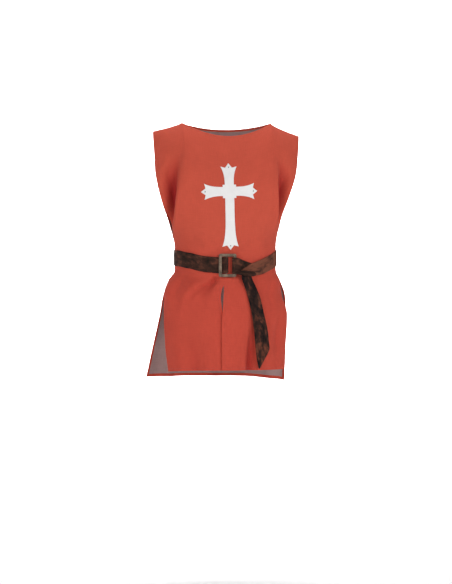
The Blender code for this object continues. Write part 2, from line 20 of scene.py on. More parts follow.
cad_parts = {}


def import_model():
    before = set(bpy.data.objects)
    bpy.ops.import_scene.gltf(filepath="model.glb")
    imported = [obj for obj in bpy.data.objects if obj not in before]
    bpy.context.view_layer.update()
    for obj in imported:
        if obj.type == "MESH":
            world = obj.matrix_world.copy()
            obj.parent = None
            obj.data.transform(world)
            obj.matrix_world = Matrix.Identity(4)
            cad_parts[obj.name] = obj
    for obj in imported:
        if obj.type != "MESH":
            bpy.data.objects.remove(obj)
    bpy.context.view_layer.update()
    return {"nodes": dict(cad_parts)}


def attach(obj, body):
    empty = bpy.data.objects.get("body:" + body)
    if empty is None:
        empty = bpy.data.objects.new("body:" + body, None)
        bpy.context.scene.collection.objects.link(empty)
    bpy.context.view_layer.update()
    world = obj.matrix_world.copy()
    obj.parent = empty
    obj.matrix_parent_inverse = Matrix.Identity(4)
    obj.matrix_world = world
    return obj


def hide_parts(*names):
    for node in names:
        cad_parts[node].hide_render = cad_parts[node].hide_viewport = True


Array = NDArray[np.float64]
Indices = NDArray[np.int64]
Colour = tuple[float, float, float]
Place = tuple[float, float, float]
Scale = tuple[float, float, float]
Socket = bpy.types.NodeSocket
log = logging.getLogger("tabard")

# The attribute on a panel's points that says how far down in a fold each one lies, from 0 to 1: the mask by
# which the cloth is painted darker and redder, painted shade in the folds.
FOLD_SHADE = "trough"
# The UV map that gives each point its place on the flat cloth or strap, in metres.
CLOTH_MAP = "cloth"
# Where a panel's top middle lies on that map, and how far its lining lies beside it.
MAP_ORIGIN = np.array([0.5, 1.0])
LINING_SHIFT = np.array([2.0, 0.0])
# Quarters in a whole turn round the waist.
WHOLE_TURN = 4.0
# The small step over which slopes are taken, and the slack that a test of a level has.
STEP = 1e-4
SLACK = 1e-6
# How a place on a panel is sought: the reach for its first guess and for a step, its pull and its rounds.
FIRST_REACH, STEP_REACH, PULL, ROUNDS = 0.16, 0.17, 0.7, 40


class Facing(Enum):
    """The side of the garment that a panel covers; its value is the way out along Y."""

    FRONT = -1
    BACK = 1


class Map(Enum):
    """What a texture is laid on: the object's own space, or the flat cloth or strap."""

    OBJECT = "Object"
    CLOTH = "UV"


class Section(NamedTuple):
    """A level section of a panel: its reach to both sides, its middle, its edges' depth and its wrap."""

    level: float
    left: float
    right: float
    centre_x: float
    centre_y: float
    edge_y: float
    wrap: float


class Fold(NamedTuple):
    """A soft ridge, or a trough where depth is negative, along a slanting line down a panel."""

    across_top: float
    across_foot: float
    top: float
    foot: float
    depth: float
    width: float
    peak: float


class SlitRow(NamedTuple):
    """How far the slit's edges stand apart (lap where negative), and the right one stands forward."""

    level: float
    gap: float
    step: float


class EndRow(NamedTuple):
    """A place along a strap in front: how far it stands off the cloth, and its top and bottom edge."""

    x: float
    lift: float
    top: float
    bottom: float


class Lamp(NamedTuple):
    """A square soft light: its place, what it is aimed at, its side, its power and its spread in degrees."""

    name: str
    place: Place
    target: Place
    size: float
    power: float
    spread: float = 180.0


class KnotRow(NamedTuple):
    """A section of the knot's roll: its middle, and half its depth and height."""

    x: float
    z: float
    lift: float
    depth: float
    height: float


class KnotCrease(NamedTuple):
    """A crease along the knot: its depth, its place up the roll, its drift, its width and where it grows."""

    depth: float
    start: float
    drift: float
    width: float
    grows_from: float
    grows_over: float


class TailRow(NamedTuple):
    """A place down the belt's hanging end: its two edges and how far each stands off the cloth."""

    z: float
    left: float
    right: float
    left_lift: float
    right_lift: float


@dataclass(frozen=True)
class Cut:
    """The sizes that the panels and the belt share."""

    cloth: float = 0.0012
    seam: float = 0.0003
    half_width: float = 0.1725
    neck_half: float = 0.105
    drop_left: float = 0.0208
    drop_right: float = 0.0296
    shoulder_curve: float = 0.75
    chest_round: float = 0.150
    shoulder_round: float = 0.072
    top_fade: float = 0.200
    belt_level: float = -0.3260
    belt_dip: float = 0.0095
    belt_full: float = 0.035
    belt_fading: float = 0.110
    slit_level: float = -0.372
    slit_spread: float = 0.018
    hem: float = 0.0072
    hem_extra: float = 0.0006
    stitch_inset: float = 0.0060
    seam_flat: float = 0.020
    neck_slant: float = 1.4
    belt_top: float = -0.300
    belt_foot: float = -0.356
    # How deep in a fold the painted shade begins, and over how much more depth it grows full.
    fold_shade_from: float = 0.004
    fold_shade_over: float = 0.026


CUT = Cut()

FRONT_SECTIONS = (
    Section(0.000, 0.1725, 0.1725, 0.000, -0.086, -0.018, 55),
    Section(-0.060, 0.1712, 0.1665, 0.000, -0.094, -0.030, 55),
    Section(-0.105, 0.1705, 0.1610, -0.001, -0.100, -0.044, 55),
    Section(-0.150, 0.1640, 0.1510, -0.002, -0.104, -0.050, 57),
    Section(-0.195, 0.1535, 0.1390, -0.003, -0.106, -0.045, 62),
    Section(-0.240, 0.1390, 0.1275, -0.004, -0.106, -0.028, 74),
    Section(-0.275, 0.1260, 0.1200, -0.005, -0.103, -0.008, 86),
    Section(-0.300, 0.1210, 0.1175, -0.007, -0.097, 0.000, 90),
    Section(-0.356, 0.1210, 0.1175, -0.007, -0.097, 0.000, 90),
    Section(-0.378, 0.1350, 0.1258, -0.017, -0.102, -0.010, 86),
    Section(-0.410, 0.1480, 0.1288, -0.020, -0.107, -0.024, 78),
    Section(-0.450, 0.1490, 0.1410, -0.019, -0.110, -0.032, 70),
    Section(-0.520, 0.1460, 0.1370, -0.018, -0.113, -0.036, 64),
    Section(-0.578, 0.1390, 0.1320, -0.017, -0.115, -0.036, 62),
)
BACK_SECTIONS = (
    Section(0.000, 0.1725, 0.1725, 0.000, 0.066, 0.018, 55),
    Section(-0.060, 0.1670, 0.1665, 0.000, 0.080, 0.030, 55),
    Section(-0.105, 0.1640, 0.1620, 0.000, 0.090, 0.040, 55),
    Section(-0.150, 0.1565, 0.1530, 0.000, 0.096, 0.044, 57),
    Section(-0.195, 0.1460, 0.1410, 0.000, 0.097, 0.038, 62),
    Section(-0.240, 0.1335, 0.1290, 0.000, 0.095, 0.022, 74),
    Section(-0.275, 0.1255, 0.1205, 0.000, 0.092, 0.006, 86),
    Section(-0.300, 0.1210, 0.1175, 0.000, 0.088, 0.000, 90),
    Section(-0.356, 0.1210, 0.1175, 0.000, 0.088, 0.000, 90),
    Section(-0.378, 0.1350, 0.1300, 0.000, 0.100, 0.012, 85),
    Section(-0.410, 0.1460, 0.1440, 0.000, 0.114, 0.028, 78),
    Section(-0.450, 0.1530, 0.1480, -0.003, 0.121, 0.042, 70),
    Section(-0.520, 0.1670, 0.1490, -0.008, 0.128, 0.060, 64),
    Section(-0.598, 0.1825, 0.1475, -0.016, 0.132, 0.078, 60),
)

FRONT_FOLDS = (
    Fold(-0.60, -0.94, -0.040, -0.262, -0.027, 0.018, 0.55),
    Fold(0.66, 0.94, -0.045, -0.258, -0.024, 0.017, 0.55),
    Fold(-0.48, -0.70, -0.050, -0.270, 0.006, 0.020, 0.50),
    Fold(0.50, 0.72, -0.060, -0.270, 0.005, 0.020, 0.50),
    Fold(-0.84, -0.78, -0.352, -0.470, 0.008, 0.020, 0.40),
    Fold(-0.20, -0.30, -0.352, -0.450, -0.007, 0.013, 0.30),
    Fold(-0.50, -0.46, -0.400, -0.578, -0.008, 0.030, 1.00),
    Fold(0.36, 0.34, -0.415, -0.578, -0.009, 0.014, 1.00),
    Fold(0.55, 0.58, -0.390, -0.578, 0.006, 0.026, 0.80),
    Fold(0.80, 0.76, -0.410, -0.570, -0.007, 0.018, 0.60),
)
BACK_FOLDS = (
    Fold(-0.62, -0.92, -0.050, -0.255, -0.020, 0.018, 0.55),
    Fold(0.66, 0.92, -0.055, -0.250, -0.018, 0.017, 0.55),
    Fold(-0.12, -0.06, -0.110, -0.296, -0.007, 0.022, 0.70),
    Fold(0.26, 0.20, -0.150, -0.296, 0.006, 0.018, 0.70),
    Fold(-0.66, -0.62, -0.360, -0.598, -0.012, 0.022, 1.00),
    Fold(-0.30, -0.34, -0.354, -0.598, 0.011, 0.024, 1.00),
    Fold(0.04, 0.02, -0.358, -0.598, -0.013, 0.020, 1.00),
    Fold(0.36, 0.38, -0.354, -0.598, 0.012, 0.024, 1.00),
    Fold(0.70, 0.74, -0.362, -0.598, -0.011, 0.022, 1.00),
)

# The lesser creases, on the visual cloth alone: gathers over and under the belt, and long soft pulls.
FRONT_CREASES = (
    Fold(-0.74, -1.03, -0.050, -0.290, -0.0160, 0.009, 0.62),
    Fold(0.82, 0.97, -0.050, -0.280, -0.0130, 0.009, 0.60),
    Fold(-0.53, -0.86, -0.050, -0.290, 0.0085, 0.010, 0.58),
    Fold(0.61, 0.82, -0.060, -0.286, 0.0080, 0.009, 0.58),
    Fold(-0.16, -0.62, -0.357, -0.440, -0.0042, 0.010, 0.30),
    Fold(-0.150, -0.185, -0.346, -0.394, -0.0090, 0.0075, 0.32),
    Fold(-0.34, -0.28, -0.232, -0.300, 0.0022, 0.011, 0.72),
    Fold(-0.17, -0.15, -0.248, -0.300, -0.0016, 0.008, 0.75),
    Fold(0.11, 0.09, -0.252, -0.300, 0.0017, 0.009, 0.75),
    Fold(0.31, 0.27, -0.240, -0.300, -0.0021, 0.010, 0.70),
    Fold(0.50, 0.46, -0.226, -0.300, 0.0024, 0.012, 0.70),
    Fold(-0.54, -0.50, -0.230, -0.300, -0.0020, 0.012, 0.70),
    Fold(-0.09, -0.14, -0.357, -0.432, 0.0028, 0.009, 0.25),
    Fold(-0.36, -0.70, -0.357, -0.470, 0.0044, 0.011, 0.28),
    Fold(-0.60, -0.74, -0.357, -0.430, -0.0036, 0.010, 0.30),
    Fold(0.13, 0.17, -0.357, -0.436, -0.0026, 0.009, 0.25),
    Fold(0.25, 0.27, -0.357, -0.450, 0.0026, 0.011, 0.28),
    Fold(0.66, 0.62, -0.357, -0.470, -0.0042, 0.011, 0.30),
    Fold(0.375, 0.372, -0.410, -0.578, -0.0120, 0.009, 1.00),
    Fold(-0.36, -0.40, -0.022, -0.225, 0.0016, 0.016, 0.40),
    Fold(-0.20, -0.23, -0.030, -0.170, -0.0013, 0.014, 0.40),
    Fold(0.30, 0.33, -0.026, -0.190, 0.0015, 0.016, 0.40),
    Fold(-0.80, -0.90, -0.060, -0.160, 0.0030, 0.014, 0.45),
    Fold(0.84, 0.92, -0.060, -0.160, 0.0026, 0.014, 0.45),
    Fold(-0.72, -0.70, -0.460, -0.578, 0.0030, 0.018, 1.00),
    Fold(-0.24, -0.22, -0.470, -0.578, 0.0022, 0.020, 1.00),
    Fold(0.16, 0.15, -0.450, -0.578, 0.0022, 0.018, 1.00),
)
BACK_CREASES = (
    Fold(-0.46, -0.42, -0.220, -0.300, 0.0030, 0.013, 0.72),
    Fold(-0.28, -0.25, -0.236, -0.300, -0.0022, 0.011, 0.75),
    Fold(0.06, 0.07, -0.230, -0.300, 0.0028, 0.012, 0.72),
    Fold(0.44, 0.40, -0.226, -0.300, -0.0026, 0.012, 0.72),
    Fold(0.60, 0.55, -0.216, -0.300, 0.0030, 0.014, 0.70),
    Fold(-0.14, -0.12, -0.357, -0.460, 0.0032, 0.012, 0.30),
    Fold(0.20, 0.19, -0.357, -0.470, -0.0030, 0.012, 0.30),
    Fold(0.53, 0.56, -0.357, -0.455, -0.0028, 0.013, 0.30),
    Fold(-0.48, -0.50, -0.357, -0.465, -0.0030, 0.013, 0.30),
    Fold(-0.34, -0.38, -0.024, -0.200, 0.0022, 0.018, 0.40),
    Fold(0.36, 0.38, -0.030, -0.210, 0.0020, 0.018, 0.40),
    Fold(-0.82, -0.80, -0.450, -0.598, 0.0040, 0.020, 1.00),
    Fold(0.88, 0.90, -0.450, -0.598, 0.0035, 0.018, 1.00),
)

SLIT = (
    SlitRow(-0.372, 0.0000, 0.0000),
    SlitRow(-0.385, 0.0052, 0.0010),
    SlitRow(-0.400, 0.0062, 0.0026),
    SlitRow(-0.420, 0.0036, 0.0036),
    SlitRow(-0.442, -0.0004, 0.0040),
    SlitRow(-0.462, -0.0060, 0.0042),
    SlitRow(-0.578, -0.0100, 0.0044),
)


def ease(share: Array) -> Array:
    """Eases a share from 0 to 1 with level ends: 3t^2 - 2t^3."""
    share = np.clip(share, 0.0, 1.0)
    return share * share * (3.0 - 2.0 * share)


def bell(distance: Array) -> Array:
    """A bell curve, 1 at its middle: the exponential of minus the square."""
    return np.exp(-(distance**2))


def ring_angles(sides: int) -> Array:
    """Even angles once round."""
    return np.arange(sides) * math.pi / (sides / 2)


def monotone_cubic(knots: Array, values: Array, at: Array) -> Array:
    """A cubic that never overshoots its knots: each slope is the harmonic mean of the rises beside it.

    Args:
        knots: Rising places.
        values: The value at each.
        at: The places to read, of any shape.

    Returns:
        The values there.
    """
    rises = np.diff(values) / np.diff(knots)
    slopes = np.zeros_like(values)
    slopes[0], slopes[-1] = rises[0], rises[-1]
    product = rises[:-1] * rises[1:]
    mean = 2.0 * product / np.where(product > 0, rises[:-1] + rises[1:], 1.0)
    slopes[1:-1] = np.where(product > 0, mean, 0.0)
    at = np.clip(at, knots[0], knots[-1])
    i = np.clip(np.searchsorted(knots, at) - 1, 0, len(knots) - 2)
    step = knots[i + 1] - knots[i]
    t = (at - knots[i]) / step
    return (
        (2 * t**3 - 3 * t**2 + 1) * values[i]
        + (t**3 - 2 * t**2 + t) * step * slopes[i]
        + (3 * t**2 - 2 * t**3) * values[i + 1]
        + (t**3 - t**2) * step * slopes[i + 1]
    )


def table_column(table: Sequence[NamedTuple], name: str, at: Array) -> Array:
    """Reads one column of a table of levels.

    Args:
        table: Rows with a level.
        name: The column.
        at: Levels to read it at.

    Returns:
        The column's smooth value there.
    """
    rows = sorted(table, key=lambda row: row.level)
    knots = np.array([row.level for row in rows])
    return monotone_cubic(knots, np.array([getattr(row, name) for row in rows], float), at)


def spline(points: Sequence[Sequence[float]], steps: int) -> Array:
    """A Catmull-Rom curve through points of any number of columns.

    Args:
        points: What it passes through.
        steps: Steps between two of them.

    Returns:
        The points along it.
    """
    given = np.asarray(points, float)
    padded = np.concatenate([2 * given[:1] - given[1:2], given, 2 * given[-1:] - given[-2:-1]])
    before, start, end, after = (padded[i : len(padded) - 3 + i, None] for i in range(4))
    t = (np.arange(steps) / steps)[None, :, None]
    curve = (
        start
        + 0.5 * t * (end - before)
        + t * t * (before - 2.5 * start + 2 * end - 0.5 * after)
        + t**3 * (1.5 * (start - end) + 0.5 * (after - before))
    )
    return np.concatenate([curve.reshape(-1, given.shape[1]), given[-1:]])


def unit(vectors: Array) -> Array:
    """Vectors of length 1."""
    return vectors / np.linalg.norm(vectors, axis=-1, keepdims=True)


def level_side(run: Array) -> Array:
    """The level way out beside each step of a run: the step turned by a quarter, of length 1."""
    return unit(np.stack([-run[:, 1], run[:, 0], np.zeros(len(run))], axis=-1))


def cell_corners(index: Indices) -> Indices:
    """The four corners of each cell of a grid of indices, in order."""
    return np.stack([index[:-1, :-1], index[1:, :-1], index[1:, 1:], index[:-1, 1:]], axis=-1)


def grid_quads(rows: int, columns: int, rolled: bool = False) -> Indices:
    """The faces of a grid of points, numbered row by row.

    Args:
        rows: Rows of points.
        columns: Points in a row.
        rolled: Whether the last column joins the first.

    Returns:
        Four indices for each face.
    """
    index = np.arange(rows * columns).reshape(rows, columns)
    if rolled:
        index = np.concatenate([index, index[:, :1]], axis=1)
    return cell_corners(index).reshape(-1, 4)


def tube_faces(rows: int, columns: int) -> tuple[Indices, Indices]:
    """The quads between a closed tube's rings and a cap on its first and last, all facing one way."""
    ring = np.arange(columns)
    return grid_quads(rows, columns, rolled=True), np.stack([ring, rows * columns - 1 - ring])


def signed_volume(points: Array, quads: Indices) -> float:
    """Six times the volume inside quads that face out: the sum of their triangles' triple products."""
    a, b, c, d = (points[quads[:, i]] - points.mean(axis=0) for i in range(4))
    return float(np.sum(a * (np.cross(b, c) + np.cross(c, d))))


def facing_out(points: Array, *groups: Indices) -> list[Indices]:
    """Turns faces round where they face in.

    Args:
        points: The shape's points.
        groups: Its quads, then any caps that face the same way as they do.

    Returns:
        The same groups, facing out.
    """
    if signed_volume(points, groups[0]) > 0:
        return list(groups)
    return [group[:, ::-1] for group in groups]


def repeated(faces: Indices, size: int, times: int) -> Indices:
    """The faces of several copies of a shape of that size, whose points follow one another."""
    first = size * np.arange(times)[:, None, None]
    return (faces[None] + first).reshape(-1, faces.shape[1])


def open_edges(edges: Indices) -> Indices:
    """The edges of a sheet that only one face has.

    Args:
        edges: The two ends of every face's edges, in the face's order.

    Returns:
        Those whose opposite isn't among them.
    """
    size = int(edges.max()) + 1
    forth, back = edges[:, 0] * size + edges[:, 1], edges[:, 1] * size + edges[:, 0]
    return edges[~np.isin(forth, back)]


def rim_quads(rim: Indices, count: int) -> Indices:
    """The faces between a sheet's open edges and its other side's, whose points come that much later."""
    start, end = rim.T
    return np.stack([end, start, start + count, end + count], axis=-1)


def distance_along(path: Array) -> Array:
    """How far along a path each of its points lies."""
    steps = np.linalg.norm(np.diff(path, axis=0), axis=1)
    return np.concatenate([[0.0], np.cumsum(steps)])


def read_along(places: Array, run: Array, rows: Array) -> Array:
    """Points or vectors read at distances along a run, straight between its rows."""
    return np.stack([np.interp(places, run, rows[:, k]) for k in range(3)], axis=-1)


def add_piece(
    name: str,
    points: Array,
    faces: Sequence[Indices],
    finishes: Sequence[bpy.types.Material],
    uv: Array | None = None,
    finish_of: Indices | None = None,
    sharp: float = 50.0,
) -> bpy.types.Object:
    """Puts points and faces into a smooth-shaded object at the origin.

    Args:
        name: The piece's name.
        points: Its points.
        faces: Its faces in groups, each an array with a row of indices for each face.
        finishes: Its materials.
        uv: A place in metres on the cloth for each point.
        finish_of: Which material each face has.
        sharp: Edges bent more than this many degrees stay crisp.

    Returns:
        The object.
    """
    mesh = bpy.data.meshes.new(name)
    mesh.from_pydata(points.tolist(), [], [face for group in faces for face in group.tolist()])
    if uv is not None:
        corner_points = np.empty(len(mesh.loops), np.int32)
        mesh.loops.foreach_get("vertex_index", corner_points)
        mesh.uv_layers.new(name=CLOTH_MAP).data.foreach_set("uv", uv[corner_points].ravel())
    for finish in finishes:
        mesh.materials.append(finish)
    if finish_of is not None:
        mesh.polygons.foreach_set("material_index", finish_of.astype(np.int32))
    mesh.update()
    mesh.shade_smooth()
    mesh.set_sharp_from_angle(angle=math.radians(sharp))
    piece = bpy.data.objects.new(name, mesh)
    bpy.context.scene.collection.objects.link(piece)
    log.info("%s: %d points, %d faces", name, len(points), len(mesh.polygons))
    return piece


class NodeGraph:
    """A material's node tree, with short calls for the nodes that the finishes use."""

    def __init__(self, name: str) -> None:
        """Starts a material with its shader and output.

        Args:
            name: The material's name.
        """
        self.material = bpy.data.materials.new(name)
        self.material.use_nodes = True
        self.tree = self.material.node_tree
        self.shader = self.tree.nodes["Principled BSDF"]

    def set(self, **values: float | Colour) -> None:
        """Sets constant sockets on the shader.

        Args:
            values: The value of each socket, named with underscores.
        """
        for name, value in values.items():
            socket = self.shader.inputs[name.replace("_", " ")]
            socket.default_value = (*value, 1.0) if isinstance(value, tuple) else value

    def feed(self, socket: Socket, value: Socket | float | Sequence[float]) -> None:
        """Links a socket to another, or sets it.

        Args:
            socket: The input.
            value: The output that feeds it, or its constant value.
        """
        if isinstance(value, bpy.types.NodeSocket):
            self.tree.links.new(value, socket)
        else:
            socket.default_value = value

    def drive(self, name: str, value: Socket) -> None:
        """Feeds one of the shader's sockets."""
        self.feed(self.shader.inputs[name], value)

    def add(self, kind: str, **settings: object) -> bpy.types.Node:
        """Adds a node.

        Args:
            kind: The node's type.
            settings: Its properties.

        Returns:
            The node.
        """
        node = self.tree.nodes.new(kind)
        for name, value in settings.items():
            setattr(node, name, value)
        return node

    def place(self, source: Map, scale: Scale = (1.0, 1.0, 1.0)) -> Socket:
        """A texture coordinate, scaled on each axis.

        Args:
            source: What the texture is laid on.
            scale: Repeats per metre.

        Returns:
            The vector.
        """
        mapping = self.add("ShaderNodeMapping")
        if source is Map.CLOTH:
            node = self.add("ShaderNodeUVMap", uv_map=CLOTH_MAP)
        else:
            node = self.add("ShaderNodeTexCoord")
        self.feed(mapping.inputs["Vector"], node.outputs[source.value])
        mapping.inputs["Scale"].default_value = scale
        return mapping.outputs["Vector"]

    def noise(self, vector: Socket, detail: float = 3.0, rough: float = 0.55, warp: float = 0.0) -> Socket:
        """A soft noise of scale 1, from 0 to 1.

        Args:
            vector: Where it is read.
            detail: Finer layers.
            rough: How strong those are.
            warp: How far it is bent.

        Returns:
            The noise.
        """
        node = self.add("ShaderNodeTexNoise")
        parts = {"Vector": vector, "Scale": 1.0, "Detail": detail, "Roughness": rough, "Distortion": warp}
        for name, value in parts.items():
            self.feed(node.inputs[name], value)
        return node.outputs["Fac"]

    def math(self, operation: str, first: Socket | float, second: Socket | float = 0.0) -> Socket:
        """A sum, product or other function of two numbers.

        Args:
            operation: The function.
            first: The first number.
            second: The second, where it takes one.

        Returns:
            The result.
        """
        node = self.add("ShaderNodeMath", operation=operation)
        self.feed(node.inputs[0], first)
        self.feed(node.inputs[1], second)
        return node.outputs[0]

    def ramp(self, share: Socket, stops: Sequence[tuple[float, Colour]]) -> Socket:
        """Colours along a share from 0 to 1.

        Args:
            share: The share.
            stops: Places along it, each with its colour.

        Returns:
            The colour.
        """
        node = self.add("ShaderNodeValToRGB")
        self.feed(node.inputs["Fac"], share)
        elements = node.color_ramp.elements
        for _ in stops[2:]:
            elements.new(0.5)
        for element, (place, colour) in zip(elements, stops):
            element.position = place
            element.color = (*colour, 1.0)
        return node.outputs["Color"]

    def shades(
        self, tone: Socket, colour: Colour, gains: tuple[float, float], ends: tuple[float, float]
    ) -> Socket:
        """A colour from a darker to a paler shade of itself, by two gains, as a tone passes two ends."""
        pair = [tuple(min(1.0, part * gain) for part in colour) for gain in gains]
        return self.ramp(tone, list(zip(ends, pair)))

    def span(self, share: Socket, low: float, high: float) -> Socket:
        """A share from 0 to 1 spread from low to high."""
        return self.math("ADD", self.math("MULTIPLY", share, high - low), low)

    def weighed(self, first: Socket, share: float, second: Socket, rest: float) -> Socket:
        """The sum of two numbers, each times its weight."""
        return self.math("ADD", self.math("MULTIPLY", first, share), self.math("MULTIPLY", second, rest))

    def tint(self, share: Socket | float, first: Socket, second: Socket | Sequence[float]) -> Socket:
        """A colour multiplied by another.

        Args:
            share: How far.
            first: The colour.
            second: What it is multiplied by.

        Returns:
            The product.
        """
        node = self.add("ShaderNodeMix", data_type="RGBA", blend_type="MULTIPLY")
        self.feed(node.inputs[0], share)
        self.feed(node.inputs[6], first)
        self.feed(node.inputs[7], second)
        return node.outputs[2]

    def bump(self, height: Socket, distance: float, strength: float = 1.0) -> None:
        """Bends the shader's normal.

        Args:
            height: The height that bends it.
            distance: What a height of 1 stands for, in metres.
            strength: How far it counts.
        """
        node = self.add("ShaderNodeBump")
        self.feed(node.inputs["Height"], height)
        node.inputs["Distance"].default_value = distance
        node.inputs["Strength"].default_value = strength
        self.drive("Normal", node.outputs["Normal"])


@dataclass(frozen=True)
class WovenCloth:
    """Plain-woven cloth: crossing threads with slubs, and a faint unevenness of the dye."""

    name: str
    colour: Colour
    # Painted shade deep in the folds: what the colour is multiplied by there.
    fold_shade_tint: Colour = (1.0, 1.0, 1.0)
    # Painted shade on the skirt: what the colour is multiplied by below the waist.
    skirt_shade_tint: Colour = (1.0, 1.0, 1.0)
    unevenness: float = 0.10
    sheen: float = 0.02
    threads: float = 900.0
    warp_slubs: Scale = (620.0, 46.0, 1.0)
    weft_slubs: Scale = (40.0, 560.0, 1.0)
    dye_clouds: Scale = (26.0, 20.0, 1.0)
    # The heights on the cloth's map at which the skirt's painted shade is full, and at which it has faded
    # out.
    skirt_shade_from: float = 0.62
    skirt_shade_to: float = 0.74

    def material(self) -> bpy.types.Material:
        """Builds the finish on the cloth's own UV map, in metres, with painted shade that makes it darker and
        redder deep in the folds and on the skirt.

        Returns:
            The material.
        """
        graph = NodeGraph(self.name)
        split = graph.add("ShaderNodeSeparateXYZ")
        graph.feed(split.inputs[0], graph.place(Map.CLOTH))
        # A warp and a weft thread make one turn of the wave between them.
        turns = math.pi * self.threads
        warp, weft = (graph.math("SINE", graph.math("MULTIPLY", split.outputs[i], turns)) for i in (0, 1))
        weave = graph.math("MULTIPLY", warp, weft)
        down = graph.noise(graph.place(Map.CLOTH, self.warp_slubs), detail=2.0)
        over = graph.noise(graph.place(Map.CLOTH, self.weft_slubs), detail=2.0)
        slubs = graph.math("MULTIPLY", graph.math("ADD", down, over), 0.5)
        dye = graph.noise(graph.place(Map.CLOTH, self.dye_clouds), detail=4.0)
        tone = graph.weighed(slubs, 0.7, dye, 0.3)
        gains = (1.0 - self.unevenness, 1.0 + self.unevenness)
        trough = graph.add("ShaderNodeAttribute", attribute_name=FOLD_SHADE).outputs["Fac"]
        dye_and_shade = graph.shades(tone, self.colour, gains, ends=(0.30, 0.70))
        # Painted shade in the folds: darker and redder where the points lie deep in one.
        dye_and_shade = graph.tint(trough, dye_and_shade, (*self.fold_shade_tint, 1.0))
        # Painted shade on the skirt: darker and redder from just above the belt down.
        stops = [(self.skirt_shade_from, self.skirt_shade_tint), (self.skirt_shade_to, (1.0, 1.0, 1.0))]
        dye_and_shade = graph.tint(1.0, dye_and_shade, graph.ramp(split.outputs[1], stops))
        graph.drive("Base Color", dye_and_shade)
        graph.set(Roughness=0.92, Sheen_Weight=self.sheen, Sheen_Roughness=0.5, Specular_IOR_Level=0.08)
        height = graph.math("ADD", graph.math("MULTIPLY", weave, 0.35), slubs)
        graph.bump(height, distance=0.0003, strength=0.6)
        return graph.material


@dataclass(frozen=True)
class Felt:
    """Pressed felt: matted fibres with no direction."""

    name: str
    colour: Colour
    fibres: float = 900.0
    clouds: float = 60.0

    def material(self) -> bpy.types.Material:
        """Builds the finish on Object coordinates.

        Returns:
            The material.
        """
        graph = NodeGraph(self.name)
        fibres = graph.noise(graph.place(Map.OBJECT, (self.fibres,) * 3), detail=4.0, rough=0.7, warp=1.5)
        clouds = graph.noise(graph.place(Map.OBJECT, (self.clouds,) * 3))
        tone = graph.weighed(fibres, 0.5, clouds, 0.5)
        graph.drive("Base Color", graph.shades(tone, self.colour, gains=(0.94, 1.03), ends=(0.3, 0.7)))
        graph.set(Roughness=0.82, Sheen_Weight=0.12, Sheen_Roughness=0.6, Specular_IOR_Level=0.25)
        graph.bump(fibres, distance=0.0002, strength=0.6)
        return graph.material


@dataclass(frozen=True)
class Suede:
    """Brushed suede: dark blotches and paler rubbed places, with a fine nap."""

    name: str
    dark: Colour
    middle: Colour
    pale: Colour
    stops: tuple[float, float, float] = (0.37, 0.53, 0.73)
    # How far along its run the strap starts to grow paler, over what length, and by how much: on the band,
    # painted light on its right-hand part.
    paler_from: float = 0.52
    paler_over: float = 0.07
    paler_gain: float = 0.20
    blotches: Scale = (30.0, 62.0, 1.0)
    nap: Scale = (1500.0, 1500.0, 1.0)
    rubs: Scale = (130.0, 170.0, 1.0)

    def material(self) -> bpy.types.Material:
        """Builds the finish on the strap's own UV map, in metres, paler past a place along its run, which on
        the band is painted light on its right-hand part.

        Returns:
            The material.
        """
        graph = NodeGraph(self.name)
        split = graph.add("ShaderNodeSeparateXYZ")
        graph.feed(split.inputs[0], graph.place(Map.CLOTH))
        # Paler past a place along the run: on the band, painted light on its right-hand part.
        past = graph.math("DIVIDE", graph.math("SUBTRACT", split.outputs[0], self.paler_from), self.paler_over)
        paling = graph.math("MINIMUM", graph.math("MAXIMUM", past, 0.0), 1.0)
        blotches = graph.noise(graph.place(Map.CLOTH, self.blotches), warp=0.3)
        nap = graph.noise(graph.place(Map.CLOTH, self.nap), rough=0.7)
        rubbed = graph.noise(graph.place(Map.CLOTH, self.rubs), detail=2.0, rough=0.5, warp=0.3)
        tone = graph.weighed(blotches, 0.8, rubbed, 0.2)
        tone = graph.math("ADD", tone, graph.math("MULTIPLY", paling, self.paler_gain))
        base = graph.ramp(tone, list(zip(self.stops, (self.dark, self.middle, self.pale))))
        speck = graph.ramp(nap, [(0.30, (0.80, 0.80, 0.80)), (0.72, (1.15, 1.15, 1.15))])
        graph.drive("Base Color", graph.tint(1.0, base, speck))
        graph.drive("Roughness", graph.span(rubbed, 0.72, 0.92))
        graph.set(Sheen_Weight=0.02, Sheen_Roughness=0.45, Specular_IOR_Level=0.12)
        height = graph.math("ADD", graph.math("MULTIPLY", nap, 0.5), rubbed)
        graph.bump(height, distance=0.0003, strength=0.7)
        return graph.material


@dataclass(frozen=True)
class AgedMetal:
    """Cast metal with a dull patina and brighter rubbed places."""

    name: str
    patina: Colour
    rubbed: Colour
    roughness: float
    stains: float = 75.0
    pits: float = 1100.0

    def material(self) -> bpy.types.Material:
        """Builds the finish on Object coordinates.

        Returns:
            The material.
        """
        graph = NodeGraph(self.name)
        stains = graph.noise(graph.place(Map.OBJECT, (self.stains,) * 3), warp=0.4)
        pits = graph.noise(graph.place(Map.OBJECT, (self.pits,) * 3), detail=2.0)
        base = graph.ramp(stains, [(0.34, self.patina), (0.70, self.rubbed)])
        graph.drive("Base Color", base)
        rough = graph.span(stains, self.roughness + 0.18, self.roughness - 0.12)
        graph.drive("Roughness", rough)
        graph.set(Metallic=0.75, Specular_IOR_Level=0.5)
        graph.bump(graph.math("ADD", pits, stains), distance=0.00012, strength=0.5)
        return graph.material


@dataclass(frozen=True)
class Thread:
    """Sewing thread: two plies twisted round each other."""

    name: str
    colour: Colour
    plies: float = 2400.0

    def material(self) -> bpy.types.Material:
        """Builds the finish on Object coordinates.

        Returns:
            The material.
        """
        graph = NodeGraph(self.name)
        ply = graph.noise(graph.place(Map.OBJECT, (self.plies,) * 3), detail=1.0)
        graph.drive("Base Color", graph.shades(ply, self.colour, gains=(0.8, 1.1), ends=(0.35, 0.65)))
        graph.set(Roughness=0.7, Sheen_Weight=0.1, Specular_IOR_Level=0.3)
        return graph.material


